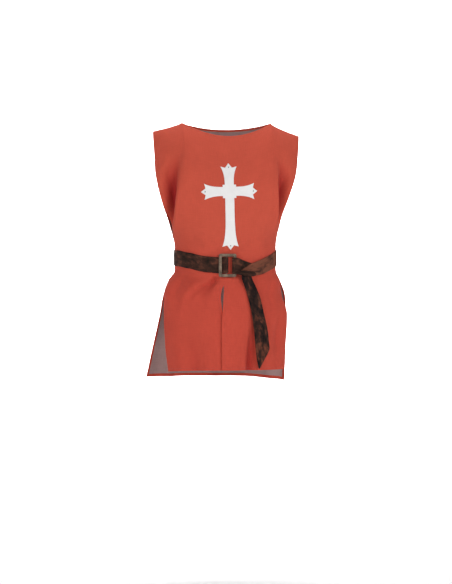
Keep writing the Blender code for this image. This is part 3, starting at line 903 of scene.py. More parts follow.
@dataclass(frozen=True)
class PanelForm:
    """A panel as it hangs on the wearer, as a function of across (-1 at its left edge to 1) and level (0 at
    its top, falling).
    """

    facing: Facing
    sections: tuple[Section, ...]
    folds: tuple[Fold, ...]
    neck_drop: float
    hem_left: float
    hem_right: float

    @property
    def hem_level(self) -> float:
        """The level of the panel's hem."""
        return self.sections[-1].level

    def fold_offset(self, across: Array, level: Array) -> Array:
        """The sum of the folds: each a bell across its slanting line, easing in from its top and out below.

        Args:
            across: Places across the panel.
            level: Their levels.

        Returns:
            How far the cloth stands out there.
        """
        total = np.zeros_like(across)
        for fold in self.folds:
            t = np.clip((fold.top - level) / (fold.top - fold.foot), 0.0, 1.0)
            line = fold.across_top + (fold.across_foot - fold.across_top) * t
            falling = np.ones_like(t) if fold.peak >= 1.0 else (1.0 - t) / (1.0 - fold.peak)
            depth = fold.depth * ease(np.minimum(t / fold.peak, falling))
            total += depth * bell((across - line) * CUT.half_width / fold.width)
        return total

    @staticmethod
    def shoulder_height(x: Array) -> Array:
        """The height of the shoulder seams, carried level across the neck."""
        past = np.maximum(np.abs(x) - CUT.neck_half, 0.0) / (CUT.half_width - CUT.neck_half)
        return -(past**CUT.shoulder_curve) * np.where(x < 0, CUT.drop_left, CUT.drop_right)

    def belt_dip(self, across: Array, level: Array) -> Array:
        """How far rows near the belt lie off their level: a cosine across the front, even across the back.

        Args:
            across: Places across the panel.
            level: Their levels.

        Returns:
            The rise there.
        """
        near = ease(1.0 - (np.abs(level - CUT.belt_level) - CUT.belt_full) / CUT.belt_fading)
        wave = -np.cos(np.pi * across) if self.facing is Facing.FRONT else np.ones_like(across)
        return CUT.belt_dip * near * wave

    def points(self, across: Array, level: Array) -> Array:
        """Points of the outer face: arcs between the sections' edges, moved out square to them by the folds.

        Over the shoulders they are rounded like a quarter of an ellipse.

        Args:
            across: Places across the panel.
            level: Their levels.

        Returns:
            The points, in one more axis.
        """
        across, level = np.broadcast_arrays(np.asarray(across, float), np.asarray(level, float))
        names = Section._fields[1:]
        left, right, centre_x, centre_y, edge_y, wrap = (table_column(self.sections, n, level) for n in names)
        turn = np.radians(wrap)
        reach = np.where(across < 0, left + centre_x, right - centre_x)
        deep = edge_y - centre_y
        x = centre_x + reach * np.sin(across * turn) / np.sin(turn)
        y = centre_y + deep * (1.0 - np.cos(across * turn)) / (1.0 - np.cos(turn))
        along_x = reach * np.cos(across * turn) / np.sin(turn)
        along_y = deep * np.sin(across * turn) / (1.0 - np.cos(turn))
        outward = self.facing.value / np.hypot(along_x, along_y)

        shoulder = self.shoulder_height(x)
        neckline = self.neck_drop * np.clip(1.0 - (x / CUT.neck_half) ** 2, 0.0, 1.0)
        tilt = (shoulder - neckline) * ease(1.0 + level / CUT.top_fade)
        skirt = ease((level - CUT.belt_level) / (self.hem_level - CUT.belt_level))
        hem = np.where(across < 0, self.hem_left, self.hem_right) * across**2 * skirt
        z = level + tilt + hem + self.belt_dip(across, level)

        offset = self.fold_offset(across, level)
        spread = ease(np.abs(x) / CUT.half_width)
        rounding = CUT.chest_round + (CUT.shoulder_round - CUT.chest_round) * spread
        upright = np.sqrt(1.0 - (1.0 - np.clip((shoulder - z) / rounding, 0.0, 1.0)) ** 2)
        x = x - along_y * outward * offset
        y = (y + along_x * outward * offset) * upright + self.facing.value * CUT.seam / 2
        return np.stack([x, y, z], axis=-1)

    def normals(self, across: Array, level: Array) -> Array:
        """Unit vectors out of the outer face: the cross product of its slopes across and down.

        Args:
            across: Places across the panel.
            level: Their levels.

        Returns:
            The vectors, in one more axis.
        """
        right, left = (np.clip(across + step, -1, 1) for step in (STEP, -STEP))
        above, below = (np.clip(level + step, self.hem_level, 0) for step in (STEP, -STEP))
        over = self.points(right, level) - self.points(left, level)
        up = self.points(across, above) - self.points(across, below)
        return unit(-self.facing.value * np.cross(over, up))

    def find(self, x: Array, z: Array) -> tuple[Array, Array]:
        """Solves for the place on the panel that is seen at x and z, by repeated correction.

        Args:
            x: Places to the side.
            z: Their heights.

        Returns:
            across and level there.
        """
        across, level = np.asarray(x, float) / FIRST_REACH, np.asarray(z, float)
        for _ in range(ROUNDS):
            found = self.points(across, level)
            across = np.clip(across + PULL * (x - found[..., 0]) / STEP_REACH, -1.0, 1.0)
            level = np.clip(level + PULL * (z - found[..., 2]), self.hem_level, 0.0)
        return across, level


FRONT_FORM = PanelForm(
    Facing.FRONT,
    FRONT_SECTIONS,
    FRONT_FOLDS + FRONT_CREASES,
    neck_drop=0.034,
    hem_left=-0.004,
    hem_right=0.001,
)
# The front without its lesser creases, which the belt's hanging end doesn't follow.
PLAIN_FORM = replace(FRONT_FORM, folds=FRONT_FOLDS)
BACK_FORM = PanelForm(
    Facing.BACK,
    BACK_SECTIONS,
    BACK_FOLDS + BACK_CREASES,
    neck_drop=0.014,
    hem_left=0.000,
    hem_right=-0.009,
)


@dataclass(frozen=True)
class Stitch:
    """A sunken stitch: a short bar of thread, thinner and deeper in the cloth towards its ends."""

    pitch: float = 0.0032
    places: tuple[float, ...] = (-0.42, -0.30, 0.0, 0.30, 0.42)
    fullness: tuple[float, ...] = (0.35, 0.85, 1.0, 0.85, 0.35)
    radius: float = 0.00032
    flatness: float = 0.8
    dip: float = 0.18
    lift: float = 0.00018
    sides: int = 6
    sharp: float = 80.0

    def bar(self) -> Array:
        """The bar's points: flattened rings along it, sunk in step with their distance from its middle.

        Returns:
            How far each lies along the row, to the side and out of the cloth.
        """
        along = np.array(self.places)[:, None] * self.pitch
        thick = np.array(self.fullness)[:, None] * self.radius
        angle = ring_angles(self.sides)
        height = thick * np.sin(angle) * self.flatness - np.abs(along) * self.dip + self.lift
        return np.stack(np.broadcast_arrays(along, thick * np.cos(angle), height), axis=-1).reshape(-1, 3)

    def row(self, name: str, path: Array, out: Array, finish: bpy.types.Material) -> bpy.types.Object:
        """A row of stitches: the bar set at each pitch along a line, turned along it and out of the cloth.

        Args:
            name: The piece's name.
            path: Points along the line.
            out: The way out of the cloth at each.
            finish: The thread.

        Returns:
            The stitches as one object.
        """
        run = distance_along(path)
        places = np.arange(self.pitch, run[-1] - self.pitch, self.pitch)
        centre, normal = read_along(places, run, path), unit(read_along(places, run, out))
        tangent = unit(read_along(places + STEP, run, path) - centre)
        axes = np.stack([tangent, np.cross(normal, tangent), normal], axis=1)
        bar = self.bar()
        points = centre[:, None] + np.einsum("vk,nkc->nvc", bar, axes)
        groups = facing_out(bar, *tube_faces(len(self.places), self.sides))
        faces = [repeated(group, len(bar), len(places)) for group in groups]
        return add_piece(name, points.reshape(-1, 3), faces, [finish], sharp=self.sharp)


@dataclass(frozen=True)
class Pucker:
    """The small puckers that a sewn hem draws: uneven waves along it, and a groove under its stitches."""

    height: float = 0.00022
    reach: float = 0.006
    groove: float = 0.00020
    groove_half: float = 0.0016
    slant: float = 1.7
    wave: float = 0.019
    drift: float = 1.3
    drift_wave: float = 0.071
    ripple: float = 0.6
    ripple_wave: float = 0.0113
    ripple_phase: float = 0.7

    def offset(self, across: Array, level: Array, distance: Array | float) -> Array:
        """How far the cloth stands out: two sines along the hem, within a bell about the stitches.

        Args:
            across: Places across the panel.
            level: Their levels.
            distance: How far each is from its edge.

        Returns:
            The offsets, which fade out towards the shoulder seams.
        """
        along = (across * CUT.half_width + self.slant * level) * 2.0 * math.pi
        waves = np.sin(along / self.wave + self.drift * np.sin(along / self.drift_wave))
        waves = waves + self.ripple * np.sin(along / self.ripple_wave + self.ripple_phase)
        past = distance - CUT.stitch_inset
        offset = self.height * waves * bell(past / self.reach) - self.groove * bell(past / self.groove_half)
        return offset * ease(-level / CUT.seam_flat)


@dataclass
class ClothPanel:
    """One panel of the tabard: a thin shell with turned hems, red outside and paler on its inner face."""

    name: str
    form: PanelForm
    flat: tuple[float, float]
    flat_area: float
    slit: tuple[SlitRow, ...] = ()
    cell: float = 0.0024
    shoulder_foot: float = -0.06
    shoulder_rows: int = 25
    shoulder_power: float = 1.6
    hem_slack: float = 1e-4
    sewn_from: float = -0.004
    sewn_neck: float = 0.53
    slit_tack: float = 0.002
    arm_steps: int = 130
    side_steps: int = 110
    foot_steps: int = 160
    neck_steps: int = 120
    stitch: Stitch = Stitch()
    pucker: Pucker = Pucker()

    def columns(self) -> Array:
        """Places across: even cells, with a line at the neck's ends and at the side hems' inner edges.

        Returns:
            The places, from -1 to 1.
        """
        wrap = math.radians(self.form.sections[0].wrap)
        neck = math.asin(CUT.neck_half / CUT.half_width * math.sin(wrap)) / wrap
        stops = (0.0, neck, 1.0 - CUT.hem / CUT.half_width, 1.0)
        runs = []
        for start, end in zip(stops, stops[1:]):
            cells = max(3, round((end - start) * CUT.half_width / self.cell))
            runs.append(np.linspace(start, end, cells, endpoint=False))
        half = np.concatenate([*runs, [1.0]])
        return np.concatenate([-half[:0:-1], half])

    def levels(self) -> Array:
        """Levels of the rows: closer by a power at the shoulders, then even, with a line at the bottom hem.

        Returns:
            The levels, falling from 0.
        """
        share = np.linspace(0.0, 1.0, self.shoulder_rows, endpoint=False)
        hem = self.form.hem_level
        stops = (self.shoulder_foot, CUT.slit_level, hem + CUT.hem, hem)
        runs = [self.shoulder_foot * share**self.shoulder_power]
        for start, end in zip(stops, stops[1:]):
            runs.append(np.linspace(start, end, round((start - end) / self.cell), endpoint=False))
        return np.concatenate([*runs, [hem]])

    def edge_distance(self, across: Array, level: Array) -> Array:
        """How far each place is from the nearest hemmed edge, along the cloth.

        Args:
            across: Places across the panel.
            level: Their levels.

        Returns:
            The least of the distances to the side, the foot, the neckline and the slit.
        """
        side = (1.0 - np.abs(across)) * CUT.half_width
        foot = level - self.form.hem_level
        x = self.form.points(across, np.zeros_like(across))[..., 0]
        neck = np.where(np.abs(x) < CUT.neck_half, -level * CUT.neck_slant, 1.0)
        slit = np.abs(across) * CUT.half_width if self.slit else np.ones_like(across)
        slit = np.where(level < CUT.slit_level, slit, 1.0)
        return np.minimum.reduce([side, foot, neck, slit])

    def slit_shift(self, across: Array, level: Array) -> Array:
        """How far the right half moves at the slit: its gap and step, easing out away from the edge.

        Args:
            across: Places across the panel.
            level: Their levels.

        Returns:
            The moves, all 0 on a panel without a slit; the left half's are the opposite.
        """
        if not self.slit:
            return np.zeros((*across.shape, 3))
        near = ease(1.0 - np.abs(across) * CUT.half_width / CUT.slit_spread)
        gap, step = (table_column(self.slit, name, level) / 2 for name in ("gap", "step"))
        below = np.where(level < CUT.slit_level - SLACK, near, 0.0)
        return np.stack([gap * below, -step * below, np.zeros_like(gap)], axis=-1)

    def hemmed(self, distance: Array) -> NDArray[np.bool_]:
        """Whether places at these distances from an edge lie on its turned hem."""
        return distance <= CUT.hem + self.hem_slack

    def sheets(self, across: Array, level: Array, distance: Array) -> tuple[Array, Array]:
        """The two faces: the form's puckered points, and those moved in by the cloth's thickness.

        Args:
            across: Places across the panel.
            level: Their levels.
            distance: How far each is from its edge.

        Returns:
            The points of the outer and the inner face, which lies deeper along the hems.
        """
        out = self.form.normals(across, level)
        outer = self.form.points(across, level) + out * self.pucker.offset(across, level, distance)[..., None]
        doubled = CUT.hem_extra * self.hemmed(distance) * ease(-level / CUT.seam_flat)
        return outer, outer - out * (CUT.cloth + doubled)[..., None]

    def quads(self, rows: int, wide: int, extra: Indices) -> Indices:
        """The outer face's cells, where the right half has its own middle points down the slit.

        Args:
            rows: Rows of points.
            wide: Points in a row.
            extra: The rows that the slit opens.

        Returns:
            Four indices for each face, facing out.
        """
        index = np.arange(rows * wide).reshape(rows, wide)
        right_index = index.copy()
        right_index[extra, wide // 2] = rows * wide + np.arange(len(extra))
        at_right = (np.arange(wide - 1) >= wide // 2)[:, None]
        quads = np.where(at_right, cell_corners(right_index), cell_corners(index)).reshape(-1, 4)
        return quads[:, ::-1] if self.form.facing is Facing.BACK else quads

    def build(self, cloth: bpy.types.Material, reverse: bpy.types.Material) -> bpy.types.Object:
        """Makes the shell: both faces, moved apart at the slit, and a rim between them.

        Args:
            cloth: The outer finish, also on the turned hems.
            reverse: The inner face's finish.

        Returns:
            The panel.
        """
        columns, levels = self.columns(), self.levels()
        across, level = np.meshgrid(columns, levels)
        distance = self.edge_distance(across, level)
        rows, wide = across.shape
        middle = wide // 2
        # Down the slit the middle column's points go with the left half, and the right half has its own.
        extra = np.flatnonzero(levels < CUT.slit_level - SLACK) if self.slit else np.zeros(0, int)
        shift = self.slit_shift(across, level)
        signs = np.where(columns > 0, 1.0, -1.0)[None, :, None]
        points = []
        for sheet in self.sheets(across, level, distance):
            points += [(sheet + signs * shift).reshape(-1, 3), (sheet + shift)[extra, middle]]

        quads = self.quads(rows, wide, extra)
        count = rows * wide + len(extra)
        rim = open_edges(np.concatenate([quads[:, [i, (i + 1) % 4]] for i in range(4)]))
        faces = np.concatenate([quads, quads[:, ::-1] + count, rim_quads(rim, count)])
        on_hem = np.append(self.hemmed(distance), np.ones(len(extra), bool))
        lining = ~on_hem[quads].all(axis=1)
        finish_of = np.concatenate([np.zeros(len(quads)), lining, np.zeros(len(rim))]).astype(np.int64)

        place = np.stack([across * CUT.half_width, level], axis=-1) + MAP_ORIGIN
        places = np.concatenate([place.reshape(-1, 2), place[extra, middle]])
        uv = np.concatenate([places, places + LINING_SHIFT])
        piece = add_piece(self.name, np.concatenate(points), [faces], [cloth, reverse], uv, finish_of)
        # How deep each point lies in a fold, past where the painted shade begins: the mask of the painted
        # shade in the folds.
        sunk = -self.form.fold_offset(across, level) - CUT.fold_shade_from
        down = np.clip(sunk / CUT.fold_shade_over, 0.0, 1.0)
        down = np.tile(np.append(down, down[extra, middle]), 2)
        trough = piece.data.attributes.new(FOLD_SHADE, "FLOAT", "POINT")
        trough.data.foreach_set("value", down.astype(np.float32))
        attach(piece, "root")
        return piece

    def sew(self, thread: bpy.types.Material) -> list[bpy.types.Object]:
        """Sews the hems: rows inside the side edges, the foot, the neckline and the slit.

        Args:
            thread: The thread's finish.

        Returns:
            The stitch rows.
        """
        edge = CUT.stitch_inset / CUT.half_width
        inset = 1.0 - edge
        foot = self.form.hem_level + CUT.stitch_inset
        chest = np.linspace(self.sewn_from, CUT.belt_top, self.arm_steps)
        skirt = np.linspace(CUT.belt_foot, foot, self.side_steps)
        over = np.linspace(-inset, inset, self.foot_steps)
        neck = np.linspace(-self.sewn_neck, self.sewn_neck, self.neck_steps)
        lines = {
            "left_arm_hem": (-inset, chest),
            "right_arm_hem": (inset, chest),
            "left_side_hem": (-inset, skirt),
            "right_side_hem": (inset, skirt),
            "neck_hem": (neck, -CUT.stitch_inset / CUT.neck_slant),
        }
        if self.slit:
            beside = np.linspace(CUT.slit_level - self.slit_tack, foot, self.neck_steps)
            lines["slit_left_hem"] = (-edge, beside)
            lines["slit_right_hem"] = (edge, beside)
            lines["foot_left_hem"] = (over[over < -edge], foot)
            lines["foot_right_hem"] = (over[over > edge], foot)
        else:
            lines["foot_hem"] = (over, foot)
        sewn = []
        for label, line in lines.items():
            across, level = np.broadcast_arrays(*line)
            path, out = self.form.points(across, level), self.form.normals(across, level)
            path = path + out * self.pucker.offset(across, level, CUT.stitch_inset)[..., None]
            path = path + np.sign(across)[:, None] * self.slit_shift(across, level)
            row = self.stitch.row(f"{self.name}.{label}", path, out, thread)
            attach(row, "root")
            sewn.append(row)
        return sewn


@dataclass
class SewnCross:
    """The felt cross: four flared arms with three-pointed ends, a square at the crossing and four studs."""

    centre: tuple[float, float] = (-0.003, -0.165)
    tilt: float = math.radians(1.3)
    arms: tuple[float, ...] = (0.0655, 0.0655, 0.0655, 0.1350)
    root: float = 0.0105
    barb: float = 0.0188
    flares: tuple[float, ...] = (2.6, 2.6, 2.6, 5.0)
    barb_back: float = 0.0076
    notch_back: float = 0.0105
    notch_half: float = 0.0080
    block: float = 0.0155
    lie: float = 0.0004
    thickness: float = 0.0010
    cell: float = 0.005
    flat: tuple[float, float] = (0.131, 0.2005)
    flat_area: float = 0.0079
    arm_steps: int = 19
    score_lines: int = 30
    soft_edge: float = 0.00035
    soft_segments: int = 2
    soft_angle: float = 60.0
    stud_back: float = 0.0095
    stud_radius: float = 0.0014
    stud_height: float = 0.0009
    stud_sunk: float = 0.0002
    stud_closing: float = 0.98
    stud_rows: int = 7
    stud_sides: int = 16

    def outline(self) -> Array:
        """The cut: each arm's half width grows from root to barb with a power of its length, then a zigzag.

        Returns:
            Points round it, anticlockwise, about the crossing.
        """
        outline = []
        for quarter, (length, flare) in enumerate(zip(self.arms, self.flares)):
            along = np.linspace(self.block, length - self.barb_back, self.arm_steps)
            share = (along - self.block) / (along[-1] - self.block)
            half = self.root + (self.barb - self.root) * share**flare
            notch = length - self.notch_back
            zigzag = [[notch, -self.notch_half], [length, 0.0], [notch, self.notch_half]]
            near, far = np.stack([along, -half], axis=-1), np.stack([along, half], axis=-1)[::-1]
            arm = np.concatenate([[[self.block, -self.block]], near, zigzag, far])
            outline.append(self.turned(arm, quarter))
        return np.concatenate(outline)

    def turned(self, arm: Array, quarter: int) -> Array:
        """Points of the right arm turned by quarters and the cross's tilt."""
        turn = quarter * math.pi / 2 + self.tilt
        return arm @ np.array([[math.cos(turn), math.sin(turn)], [-math.sin(turn), math.cos(turn)]])

    def lay(self, flat: Array, height: float) -> Array:
        """Flat places about the crossing, laid on the chest at a height over the cloth."""
        across, level = FRONT_FORM.find(flat[:, 0] + self.centre[0], flat[:, 1] + self.centre[1])
        return FRONT_FORM.points(across, level) - np.array([0.0, height, 0.0])

    def scored(self) -> tuple[Array, Indices, Indices]:
        """The cut as a flat sheet, scored along straight lines into small cells.

        Returns:
            Its points, the points at its faces' corners, and where each face's corners start.
        """
        cut = self.outline()
        mesh = bpy.data.meshes.new("cross_cut")
        mesh.from_pydata(np.insert(cut, 1, 0.0, axis=1).tolist(), [], [list(range(len(cut)))])
        sheet = bmesh.new()
        sheet.from_mesh(mesh)
        for axis in (Vector((1, 0, 0)), Vector((0, 0, 1))):
            for place in (np.arange(-self.score_lines, self.score_lines) + 0.5) * self.cell:
                parts = [*sheet.verts, *sheet.edges, *sheet.faces]
                bmesh.ops.bisect_plane(sheet, geom=parts, dist=SLACK, plane_co=axis * place, plane_no=axis)
        sheet.to_mesh(mesh)
        sheet.free()
        flat = np.empty(3 * len(mesh.vertices))
        mesh.vertices.foreach_get("co", flat)
        corner = np.empty(len(mesh.loops), np.int32)
        mesh.loops.foreach_get("vertex_index", corner)
        start = np.empty(len(mesh.polygons), np.int32)
        mesh.polygons.foreach_get("loop_start", start)
        bpy.data.meshes.remove(mesh)
        return flat.reshape(-1, 3)[:, [0, 2]], corner.astype(np.int64), start.astype(np.int64)

    def build(self, felt: bpy.types.Material) -> bpy.types.Object:
        """Lays both faces of the scored cut on the chest and joins them by a rim.

        Args:
            felt: The finish.

        Returns:
            The cross.
        """
        flat, corner, start = self.scored()
        following = np.arange(1, len(corner) + 1)
        following[np.append(start[1:], len(corner)) - 1] = start
        rim = open_edges(np.stack([corner, corner[following]], axis=-1))
        count = len(flat)
        faces = [face[None] for face in np.split(corner, start[1:])]
        faces += [face[:, ::-1] + count for face in faces] + [rim_quads(rim, count)]
        points = np.concatenate([self.lay(flat, self.lie + self.thickness), self.lay(flat, self.lie)])
        piece = add_piece("felt_cross", points, faces, [felt], np.tile(flat + MAP_ORIGIN[0], (2, 1)))
        bevel = piece.modifiers.new("soft_edge", "BEVEL")
        bevel.width, bevel.segments, bevel.limit_method = self.soft_edge, self.soft_segments, "ANGLE"
        bevel.angle_limit = math.radians(self.soft_angle)
        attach(piece, "root")
        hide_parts("cross")
        return piece

    def stud(self, metal: bpy.types.Material) -> bpy.types.Object:
        """Sets a small domed stud near each arm's end: a dome turned about the way out of the felt.

        Args:
            metal: The finish.

        Returns:
            The studs.
        """
        spots = [self.turned(np.array([[n - self.stud_back, 0.0]]), q)[0] for q, n in enumerate(self.arms)]
        base = self.lay(np.array(spots), self.lie + self.thickness - self.stud_sunk)
        rise = np.linspace(0.0, math.pi / 2, self.stud_rows)[:, None]
        angle = ring_angles(self.stud_sides)
        radius, height = self.stud_radius * np.cos(rise * self.stud_closing), self.stud_height * np.sin(rise)
        rings = np.broadcast_arrays(radius * np.cos(angle), -height, radius * np.sin(angle))
        dome = np.stack(rings, axis=-1).reshape(-1, 3)
        points = (base[:, None] + dome[None]).reshape(-1, 3)
        groups = facing_out(dome, *tube_faces(self.stud_rows, self.stud_sides))
        faces = [repeated(group, len(dome), len(spots)) for group in groups]
        piece = add_piece("cross_studs", points, faces, [metal])
        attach(piece, "root")
        return piece


@dataclass
class Belt:
    """The suede belt: its strap round the waist, the tab on the buckle, the knot and the hanging tail."""

    width: float = 0.037
    strap: float = 0.0018
    lie: float = 0.0004
    round_share: float = 0.03
    round_steps: tuple[float, ...] = (0.0, 0.1, 0.35, 1.0)
    flat_from: float = 0.08
    flat_steps: int = 15
    pleats: float = 2.6
    pleat_phase: float = 0.15
    pleat_depth: float = 0.0010
    pleat_gain: float = 1.6
    pleat_fade: float = 0.020
    ring_steps: int = 260
    sways: tuple[tuple[float, float, float], ...] = ((0.0006, 9.0, 0.6), (0.0004, 23.0, 0.0))
    knot_sides: int = 40
    knot_map: tuple[float, float] = (0.045, 0.006)
    tail_bow: float = 0.0016
    tail_top: float = -0.352
    tail_foot: float = -0.575
    tail_easing: float = 0.03
    strap_end: tuple[tuple[float, float], ...] = (
        (-0.0480, 0.0013),
        (-0.0200, 0.0014),
        (-0.0120, 0.0021),
        (-0.0078, 0.0040),
        (-0.0062, 0.0066),
        (-0.0078, 0.0091),
        (-0.0112, 0.0094),
        (-0.0152, 0.0070),
        (-0.0195, 0.0046),
        (-0.0280, 0.0040),
        (-0.0480, 0.0036),
        (-0.0560, 0.0026),
        (-0.0680, 0.0014),
    )
    wedge: tuple[EndRow, ...] = (
        EndRow(0.1130, 0.0013, -0.3005, -0.3372),
        EndRow(0.1000, 0.0014, -0.3085, -0.3445),
        EndRow(0.0780, 0.0030, -0.3190, -0.3545),
        EndRow(0.0620, 0.0057, -0.3252, -0.3580),
        EndRow(0.0450, 0.0062, -0.3322, -0.3592),
        EndRow(0.0330, 0.0080, -0.3395, -0.3597),
        EndRow(0.0220, 0.0104, -0.3480, -0.3582),
    )
    tab: tuple[EndRow, ...] = (
        EndRow(0.0570, 0.0013, -0.3330, -0.3530),
        EndRow(0.0400, 0.0013, -0.3275, -0.3550),
        EndRow(0.0200, 0.0014, -0.3205, -0.3555),
        EndRow(0.0110, 0.0022, -0.3181, -0.3551),
        EndRow(0.0058, 0.0038, -0.3181, -0.3551),
        EndRow(0.0036, 0.0070, -0.3181, -0.3551),
        EndRow(0.0044, 0.0108, -0.3181, -0.3551),
        EndRow(0.0085, 0.0124, -0.3181, -0.3551),
        EndRow(0.0142, 0.0126, -0.3184, -0.3552),
        EndRow(0.0194, 0.0096, -0.3200, -0.3554),
        EndRow(0.0260, 0.0052, -0.3224, -0.3555),
        EndRow(0.0400, 0.0035, -0.3275, -0.3550),
        EndRow(0.0570, 0.0034, -0.3330, -0.3530),
    )
    knot: tuple[KnotRow, ...] = (
        KnotRow(0.0105, -0.3535, 0.0150, 0.0010, 0.0016),
        KnotRow(0.0165, -0.3533, 0.0170, 0.0021, 0.0042),
        KnotRow(0.0265, -0.3530, 0.0174, 0.0027, 0.0062),
        KnotRow(0.0375, -0.3545, 0.0168, 0.0027, 0.0062),
        KnotRow(0.0475, -0.3550, 0.0156, 0.0025, 0.0057),
        KnotRow(0.0545, -0.3560, 0.0120, 0.0014, 0.0026),
    )
    knot_creases: tuple[KnotCrease, ...] = (
        KnotCrease(0.55, 0.55, -0.75, 0.11, -1.0, 1.0),
        KnotCrease(0.40, -0.40, 0.30, 0.09, -1.0, 1.0),
        KnotCrease(0.25, 0.62, 0.0, 0.10, 0.35, 0.3),
    )
    tail: tuple[TailRow, ...] = (
        TailRow(-0.3500, 0.0260, 0.0470, 0.0132, 0.0118),
        TailRow(-0.3655, 0.0256, 0.0500, 0.0122, 0.0134),
        TailRow(-0.3840, 0.0320, 0.0580, 0.0072, 0.0165),
        TailRow(-0.4120, 0.0410, 0.0690, 0.0052, 0.0180),
        TailRow(-0.4480, 0.0486, 0.0772, 0.0048, 0.0165),
        TailRow(-0.4800, 0.0534, 0.0850, 0.0048, 0.0150),
        TailRow(-0.5120, 0.0564, 0.0889, 0.0052, 0.0140),
        TailRow(-0.5304, 0.0578, 0.0899, 0.0058, 0.0130),
        TailRow(-0.5540, 0.0608, 0.0782, 0.0070, 0.0105),
        TailRow(-0.5740, 0.0652, 0.0676, 0.0084, 0.0090),
    )

    @staticmethod
    def waist(turn: Array) -> Array:
        """The cloth under the belt's middle.

        Args:
            turn: 0 in front, -1 at the left, -2 behind, -3 at the right, -4 in front again.

        Returns:
            The points there.
        """
        behind = (turn <= -1.0) & (turn >= -3.0)
        front = np.where(turn > -1.0, turn, turn + WHOLE_TURN)
        level = np.full_like(turn, CUT.belt_level)
        before = FRONT_FORM.points(np.clip(front, -1, 1), level)
        after = BACK_FORM.points(np.clip(-WHOLE_TURN / 2 - turn, -1, 1), level)
        return np.where(behind[:, None], after, before)

    def waist_out(self, turn: Array) -> Array:
        """The level way out of the cloth under the belt."""
        return level_side(self.waist(turn - STEP) - self.waist(turn))

    def off_waist(self, turn: Array, lift: Array) -> Array:
        """Points that far off the cloth under the belt."""
        return self.waist(turn) + self.waist_out(turn) * lift[:, None]

    @staticmethod
    def turn_at(x: Array) -> Array:
        """The turn of a place across the front: the waist's section is an ellipse there.

        Args:
            x: Places to the side.

        Returns:
            Their turns, from -1 to 1.
        """
        row = next(section for section in FRONT_SECTIONS if section.level == CUT.belt_top)
        reach = np.where(x < row.centre_x, row.left + row.centre_x, row.right - row.centre_x)
        return np.arcsin((x - row.centre_x) / reach) / (math.pi / 2)

    def strip(
        self,
        name: str,
        low: Array,
        high: Array,
        out: Array,
        finish: bpy.types.Material,
        pleat: Array | float = 0.0,
        curl: Array | float = 0.0,
    ) -> bpy.types.Object:
        """A strap as a profile carried along a path: a flat section with round edges between two edge lines.

        Args:
            name: The piece's name.
            low: Points along one edge.
            high: Points along the other.
            out: The way out of its face at each.
            finish: Its finish.
            pleat: How deep the gathers along it are at each.
            curl: How far its middle stands out at each.

        Returns:
            The strap.
        """
        height = np.maximum(np.linalg.norm(high - low, axis=1), STEP)
        edge = np.array(self.round_steps) * self.round_share
        inside = np.linspace(self.flat_from, 1.0 - self.flat_from, self.flat_steps)
        share = np.concatenate([edge, inside, 1.0 - edge[::-1]])
        near_edge = np.clip(np.minimum(share, 1.0 - share) / self.round_share, 0.0, 1.0)
        half = self.strap / 2 * np.sqrt(1.0 - (1.0 - near_edge) ** 2)
        ring_share = np.concatenate([share, share[-2:0:-1]])
        ring_half = np.concatenate([half, -half[-2:0:-1]])
        bow = np.sin(math.pi * ring_share)
        wave = np.cos(2.0 * math.pi * (self.pleats * ring_share + self.pleat_phase)) * bow
        pleat, curl = (np.broadcast_to(part, len(low))[:, None] for part in (pleat, curl))
        offset = ring_half + pleat * wave + curl * bow
        between = low[:, None] + (high - low)[:, None] * ring_share[None, :, None]
        points = (between + out[:, None] * offset[..., None]).reshape(-1, 3)
        run = distance_along((low + high) / 2)[:, None]
        uv = np.stack(np.broadcast_arrays(run, height[:, None] * ring_share), axis=-1)
        faces = facing_out(points, *tube_faces(*offset.shape))
        piece = add_piece(name, points, faces, [finish], uv.reshape(-1, 2))
        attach(piece, "root")
        return piece

    @staticmethod
    def on_edge(line: Array, top: Array, bottom: Array) -> tuple[Array, Array, Array]:
        """A strap that stands on edge along a line.

        Args:
            line: Points along it.
            top: The height of its upper edge at each.
            bottom: The height of its lower edge at each.

        Returns:
            Its two edges and the way out of its face.
        """
        low, high = line.copy(), line.copy()
        low[:, 2], high[:, 2] = bottom, top
        return low, high, level_side(np.gradient(line, axis=0))

    def build_band(self, suede: bpy.types.Material) -> bpy.types.Object:
        """The strap: sewn round the middle bar, once round the waist, then gathered over the tab to the knot.

        Its edges sway by a sum of sines along it.

        Args:
            suede: The finish.

        Returns:
            The band.
        """
        bends = np.array(self.strap_end)
        ends = spline(np.stack([self.turn_at(bends[:, 0]), bends[:, 1]], axis=-1), steps=8)
        rows = np.array(self.wedge)
        last = spline(np.concatenate([self.turn_at(rows[:, :1]) - WHOLE_TURN, rows[:, 1:]], axis=1), steps=10)
        ring = np.linspace(ends[-1, 0], last[0, 0], self.ring_steps)[1:-1]
        turn = np.concatenate([ends[:, 0], ring, last[:, 0]])
        lift = np.concatenate([ends[:, 1], np.full(len(ring), self.lie + self.strap / 2), last[:, 1]])
        line = self.off_waist(turn, lift)
        wave = sum(reach * np.sin(turn * pace + phase) for reach, pace, phase in self.sways)
        top, bottom = line[:, 2] + self.width / 2 + wave, line[:, 2] - self.width / 2 + wave
        gathered = slice(-len(last), None)
        top[gathered], bottom[gathered] = last[:, 2], last[:, 3]
        narrow = np.clip(1.0 - (top - bottom) / self.width, 0.0, 1.0)
        pleat = -self.pleat_depth * ease(narrow * self.pleat_gain)
        pleat[gathered] *= ease((line[gathered, 0] - self.knot[1].x) / self.pleat_fade)
        piece = self.strip("suede_band", *self.on_edge(line, top, bottom), suede, pleat)
        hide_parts("belt_band")
        return piece

